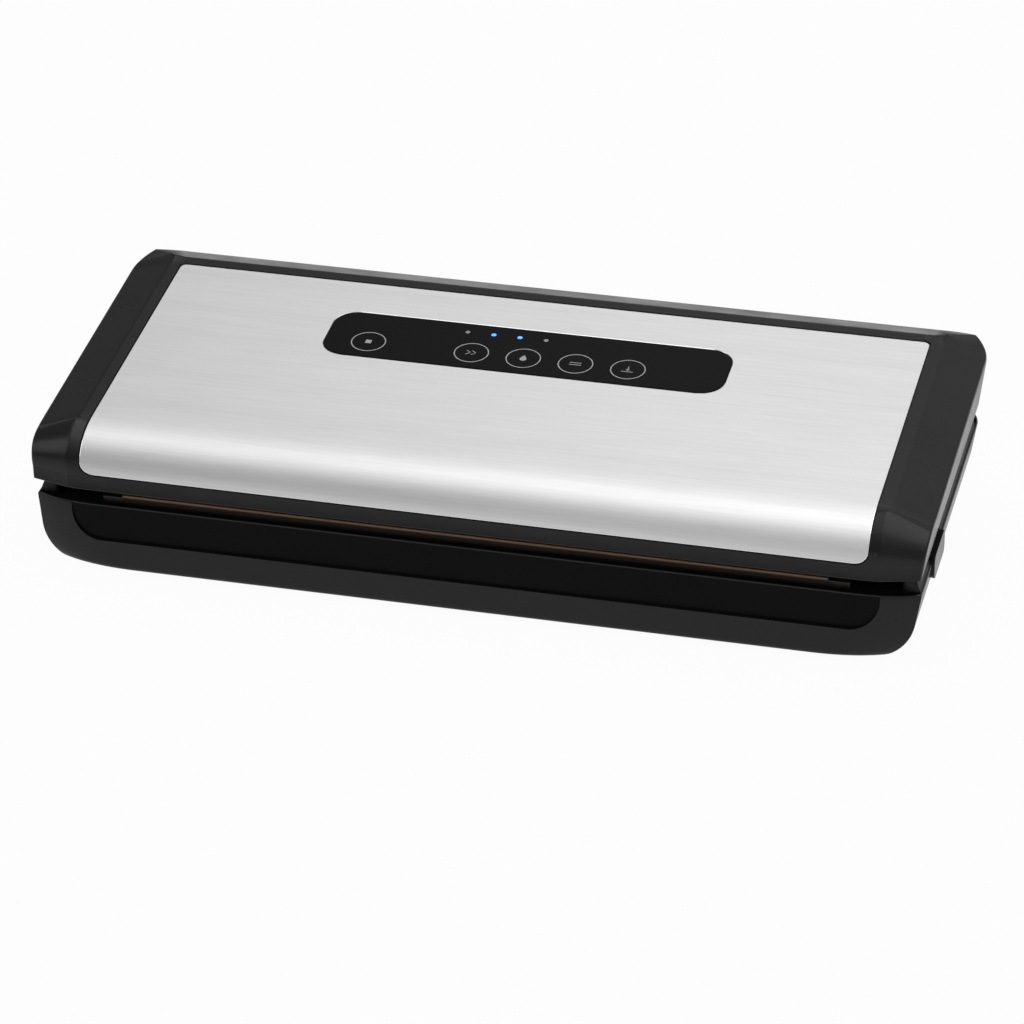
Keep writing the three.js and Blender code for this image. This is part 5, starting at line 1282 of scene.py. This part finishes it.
class SEALER_PG_colours(bpy.types.PropertyGroup):
    case: FloatVectorProperty(
        name="Case", description="Colour of the outer mouldings",
        subtype="COLOR", size=3, default=(0.006, 0.0063, 0.0066), min=0, max=1,
    )
    steel: FloatVectorProperty(
        name="Steel", description="Colour of the steel cover",
        subtype="COLOR", size=3, default=(0.68, 0.68, 0.68), min=0, max=1,
    )
    lamp: FloatVectorProperty(
        name="Lamp", description="Colour of a lit lamp",
        subtype="COLOR", size=3, default=(0.05, 0.22, 1.0), min=0, max=1,
    )


class SEALER_PG_stage(bpy.types.PropertyGroup):
    floor: FloatVectorProperty(
        name="Floor", description="Colour of the floor",
        subtype="COLOR", size=3, default=(0.72, 0.72, 0.72), min=0, max=1,
    )
    floor_lift: FloatProperty(
        name="Floor lift", description="Share of plain white in the floor as it is seen",
        default=0.96, min=0, max=1,
    )
    ambient: FloatProperty(
        name="Ambient", description="Strength of the light from all round", default=0.55, min=0, max=2
    )
    surround: FloatProperty(
        name="Surround", description="Strength of the surround as it is seen and mirrored",
        default=1.0, min=0, max=2,
    )
    wall: FloatProperty(
        name="Wall", description="Share of the surround's light that its lower part mirrors",
        default=0.45, min=0, max=1,
    )
    key: FloatProperty(
        name="Key lamp", description="Power of the main lamp", default=25, min=0, max=500, unit="POWER"
    )
    fill: FloatProperty(
        name="Fill lamp", description="Power of the lamp at the left", default=7, min=0, max=500, unit="POWER"
    )


# ---------------------------------------------------------------- operators


class SEALER_OT_finishes(bpy.types.Operator):
    """Make the finishes and dress the nodes of the frame in them"""

    bl_idname = "sealer.finishes"
    bl_label = "Finishes"

    def execute(self, context):
        make_finishes(context.scene.sealer_colours)
        dress_frame()
        return {"FINISHED"}


class SEALER_OT_lid_shell(bpy.types.Operator):
    """Press the lid's shell from a flat sheet and turn its walls down"""

    bl_idname = "sealer.lid_shell"
    bl_label = "Lid shell"

    def execute(self, context):
        lid_shell(context.scene.sealer_lid)
        return {"FINISHED"}


class SEALER_OT_steel_cover(bpy.types.Operator):
    """Trim, punch and roll the steel cover"""

    bl_idname = "sealer.steel_cover"
    bl_label = "Steel cover"

    def execute(self, context):
        steel_cover(context.scene.sealer_lid)
        return {"FINISHED"}


class SEALER_OT_control_strip(bpy.types.Operator):
    """Make the glossy plate that the keys and lamps sit in"""

    bl_idname = "sealer.control_strip"
    bl_label = "Control strip"

    def execute(self, context):
        control_strip()
        return {"FINISHED"}


class SEALER_OT_keys(bpy.types.Operator):
    """Make the five keys with their rings and signs"""

    bl_idname = "sealer.keys"
    bl_label = "Keys"

    def execute(self, context):
        control_keys(context.scene.sealer_lid)
        return {"FINISHED"}


class SEALER_OT_lamps(bpy.types.Operator):
    """Turn the four lamp lenses"""

    bl_idname = "sealer.lamps"
    bl_label = "Lamps"

    def execute(self, context):
        control_lamps()
        return {"FINISHED"}


class SEALER_OT_tub(bpy.types.Operator):
    """Draw the tub down from its rim and cut its scoop, windows and vents"""

    bl_idname = "sealer.tub"
    bl_label = "Tub"

    def execute(self, context):
        base_tub(context.scene.sealer_base)
        return {"FINISHED"}


class SEALER_OT_feet(bpy.types.Operator):
    """Turn the four rubber feet"""

    bl_idname = "sealer.feet"
    bl_label = "Feet"

    def execute(self, context):
        feet()
        return {"FINISHED"}


class SEALER_OT_deck(bpy.types.Operator):
    """Round the edges of the deck and of the lid's liner"""

    bl_idname = "sealer.deck"
    bl_label = "Deck and liner"

    def execute(self, context):
        deck_and_liner()
        return {"FINISHED"}


class SEALER_OT_gaskets(bpy.types.Operator):
    """Round the two foam rings"""

    bl_idname = "sealer.gaskets"
    bl_label = "Gaskets"

    def execute(self, context):
        gaskets()
        return {"FINISHED"}


class SEALER_OT_seal_bar(bpy.types.Operator):
    """Finish the seal bar, its tape and the pad over it"""

    bl_idname = "sealer.seal_bar"
    bl_label = "Seal bar"

    def execute(self, context):
        seal_bar()
        return {"FINISHED"}


class SEALER_OT_latches(bpy.types.Operator):
    """Finish the release buttons, hooks and catches"""

    bl_idname = "sealer.latches"
    bl_label = "Latches"

    def execute(self, context):
        latches()
        return {"FINISHED"}


class SEALER_OT_stage(bpy.types.Operator):
    """Set up the camera, the floor, the surround and the soft lamps"""

    bl_idname = "sealer.stage"
    bl_label = "Stage"

    def execute(self, context):
        make_stage(context.scene.sealer_stage)
        return {"FINISHED"}


OPERATORS = (
    SEALER_OT_stage, SEALER_OT_finishes, SEALER_OT_lid_shell, SEALER_OT_steel_cover, SEALER_OT_control_strip,
    SEALER_OT_keys, SEALER_OT_lamps, SEALER_OT_tub, SEALER_OT_feet, SEALER_OT_deck, SEALER_OT_gaskets,
    SEALER_OT_seal_bar, SEALER_OT_latches,
)


class SEALER_PT_panel(bpy.types.Panel):
    """The pieces and settings of the vacuum sealer"""

    bl_idname = "SEALER_PT_panel"
    bl_label = "Vacuum sealer"
    bl_space_type = "VIEW_3D"
    bl_region_type = "UI"
    bl_category = "Sealer"

    def draw(self, context):
        layout = self.layout
        for group in SETTINGS:
            box = layout.box()
            settings = getattr(context.scene, group)
            for name in settings.bl_rna.properties.keys():
                if name not in ("rna_type", "name"):
                    box.prop(settings, name)
        for operator in OPERATORS:
            layout.operator(operator.bl_idname)


SETTINGS = {
    "sealer_lid": SEALER_PG_lid, "sealer_base": SEALER_PG_base,
    "sealer_colours": SEALER_PG_colours, "sealer_stage": SEALER_PG_stage,
}


def register():
    for group in SETTINGS.values():
        bpy.utils.register_class(group)
    for name, group in SETTINGS.items():
        setattr(bpy.types.Scene, name, PointerProperty(type=group))
    for operator in OPERATORS:
        bpy.utils.register_class(operator)
    bpy.utils.register_class(SEALER_PT_panel)


def unregister():
    bpy.utils.unregister_class(SEALER_PT_panel)
    for operator in reversed(OPERATORS):
        bpy.utils.unregister_class(operator)
    for name, group in SETTINGS.items():
        delattr(bpy.types.Scene, name)
        bpy.utils.unregister_class(group)


def main():
    register()
    bpy.ops.sealer.stage()
    bpy.ops.sealer.finishes()
    bpy.ops.sealer.lid_shell()
    bpy.ops.sealer.steel_cover()
    bpy.ops.sealer.control_strip()
    bpy.ops.sealer.keys()
    bpy.ops.sealer.lamps()
    bpy.ops.sealer.tub()
    bpy.ops.sealer.feet()
    bpy.ops.sealer.deck()
    bpy.ops.sealer.gaskets()
    bpy.ops.sealer.seal_bar()
    bpy.ops.sealer.latches()
    bpy.context.view_layer.update()


if __name__ == "__main__":
    main()
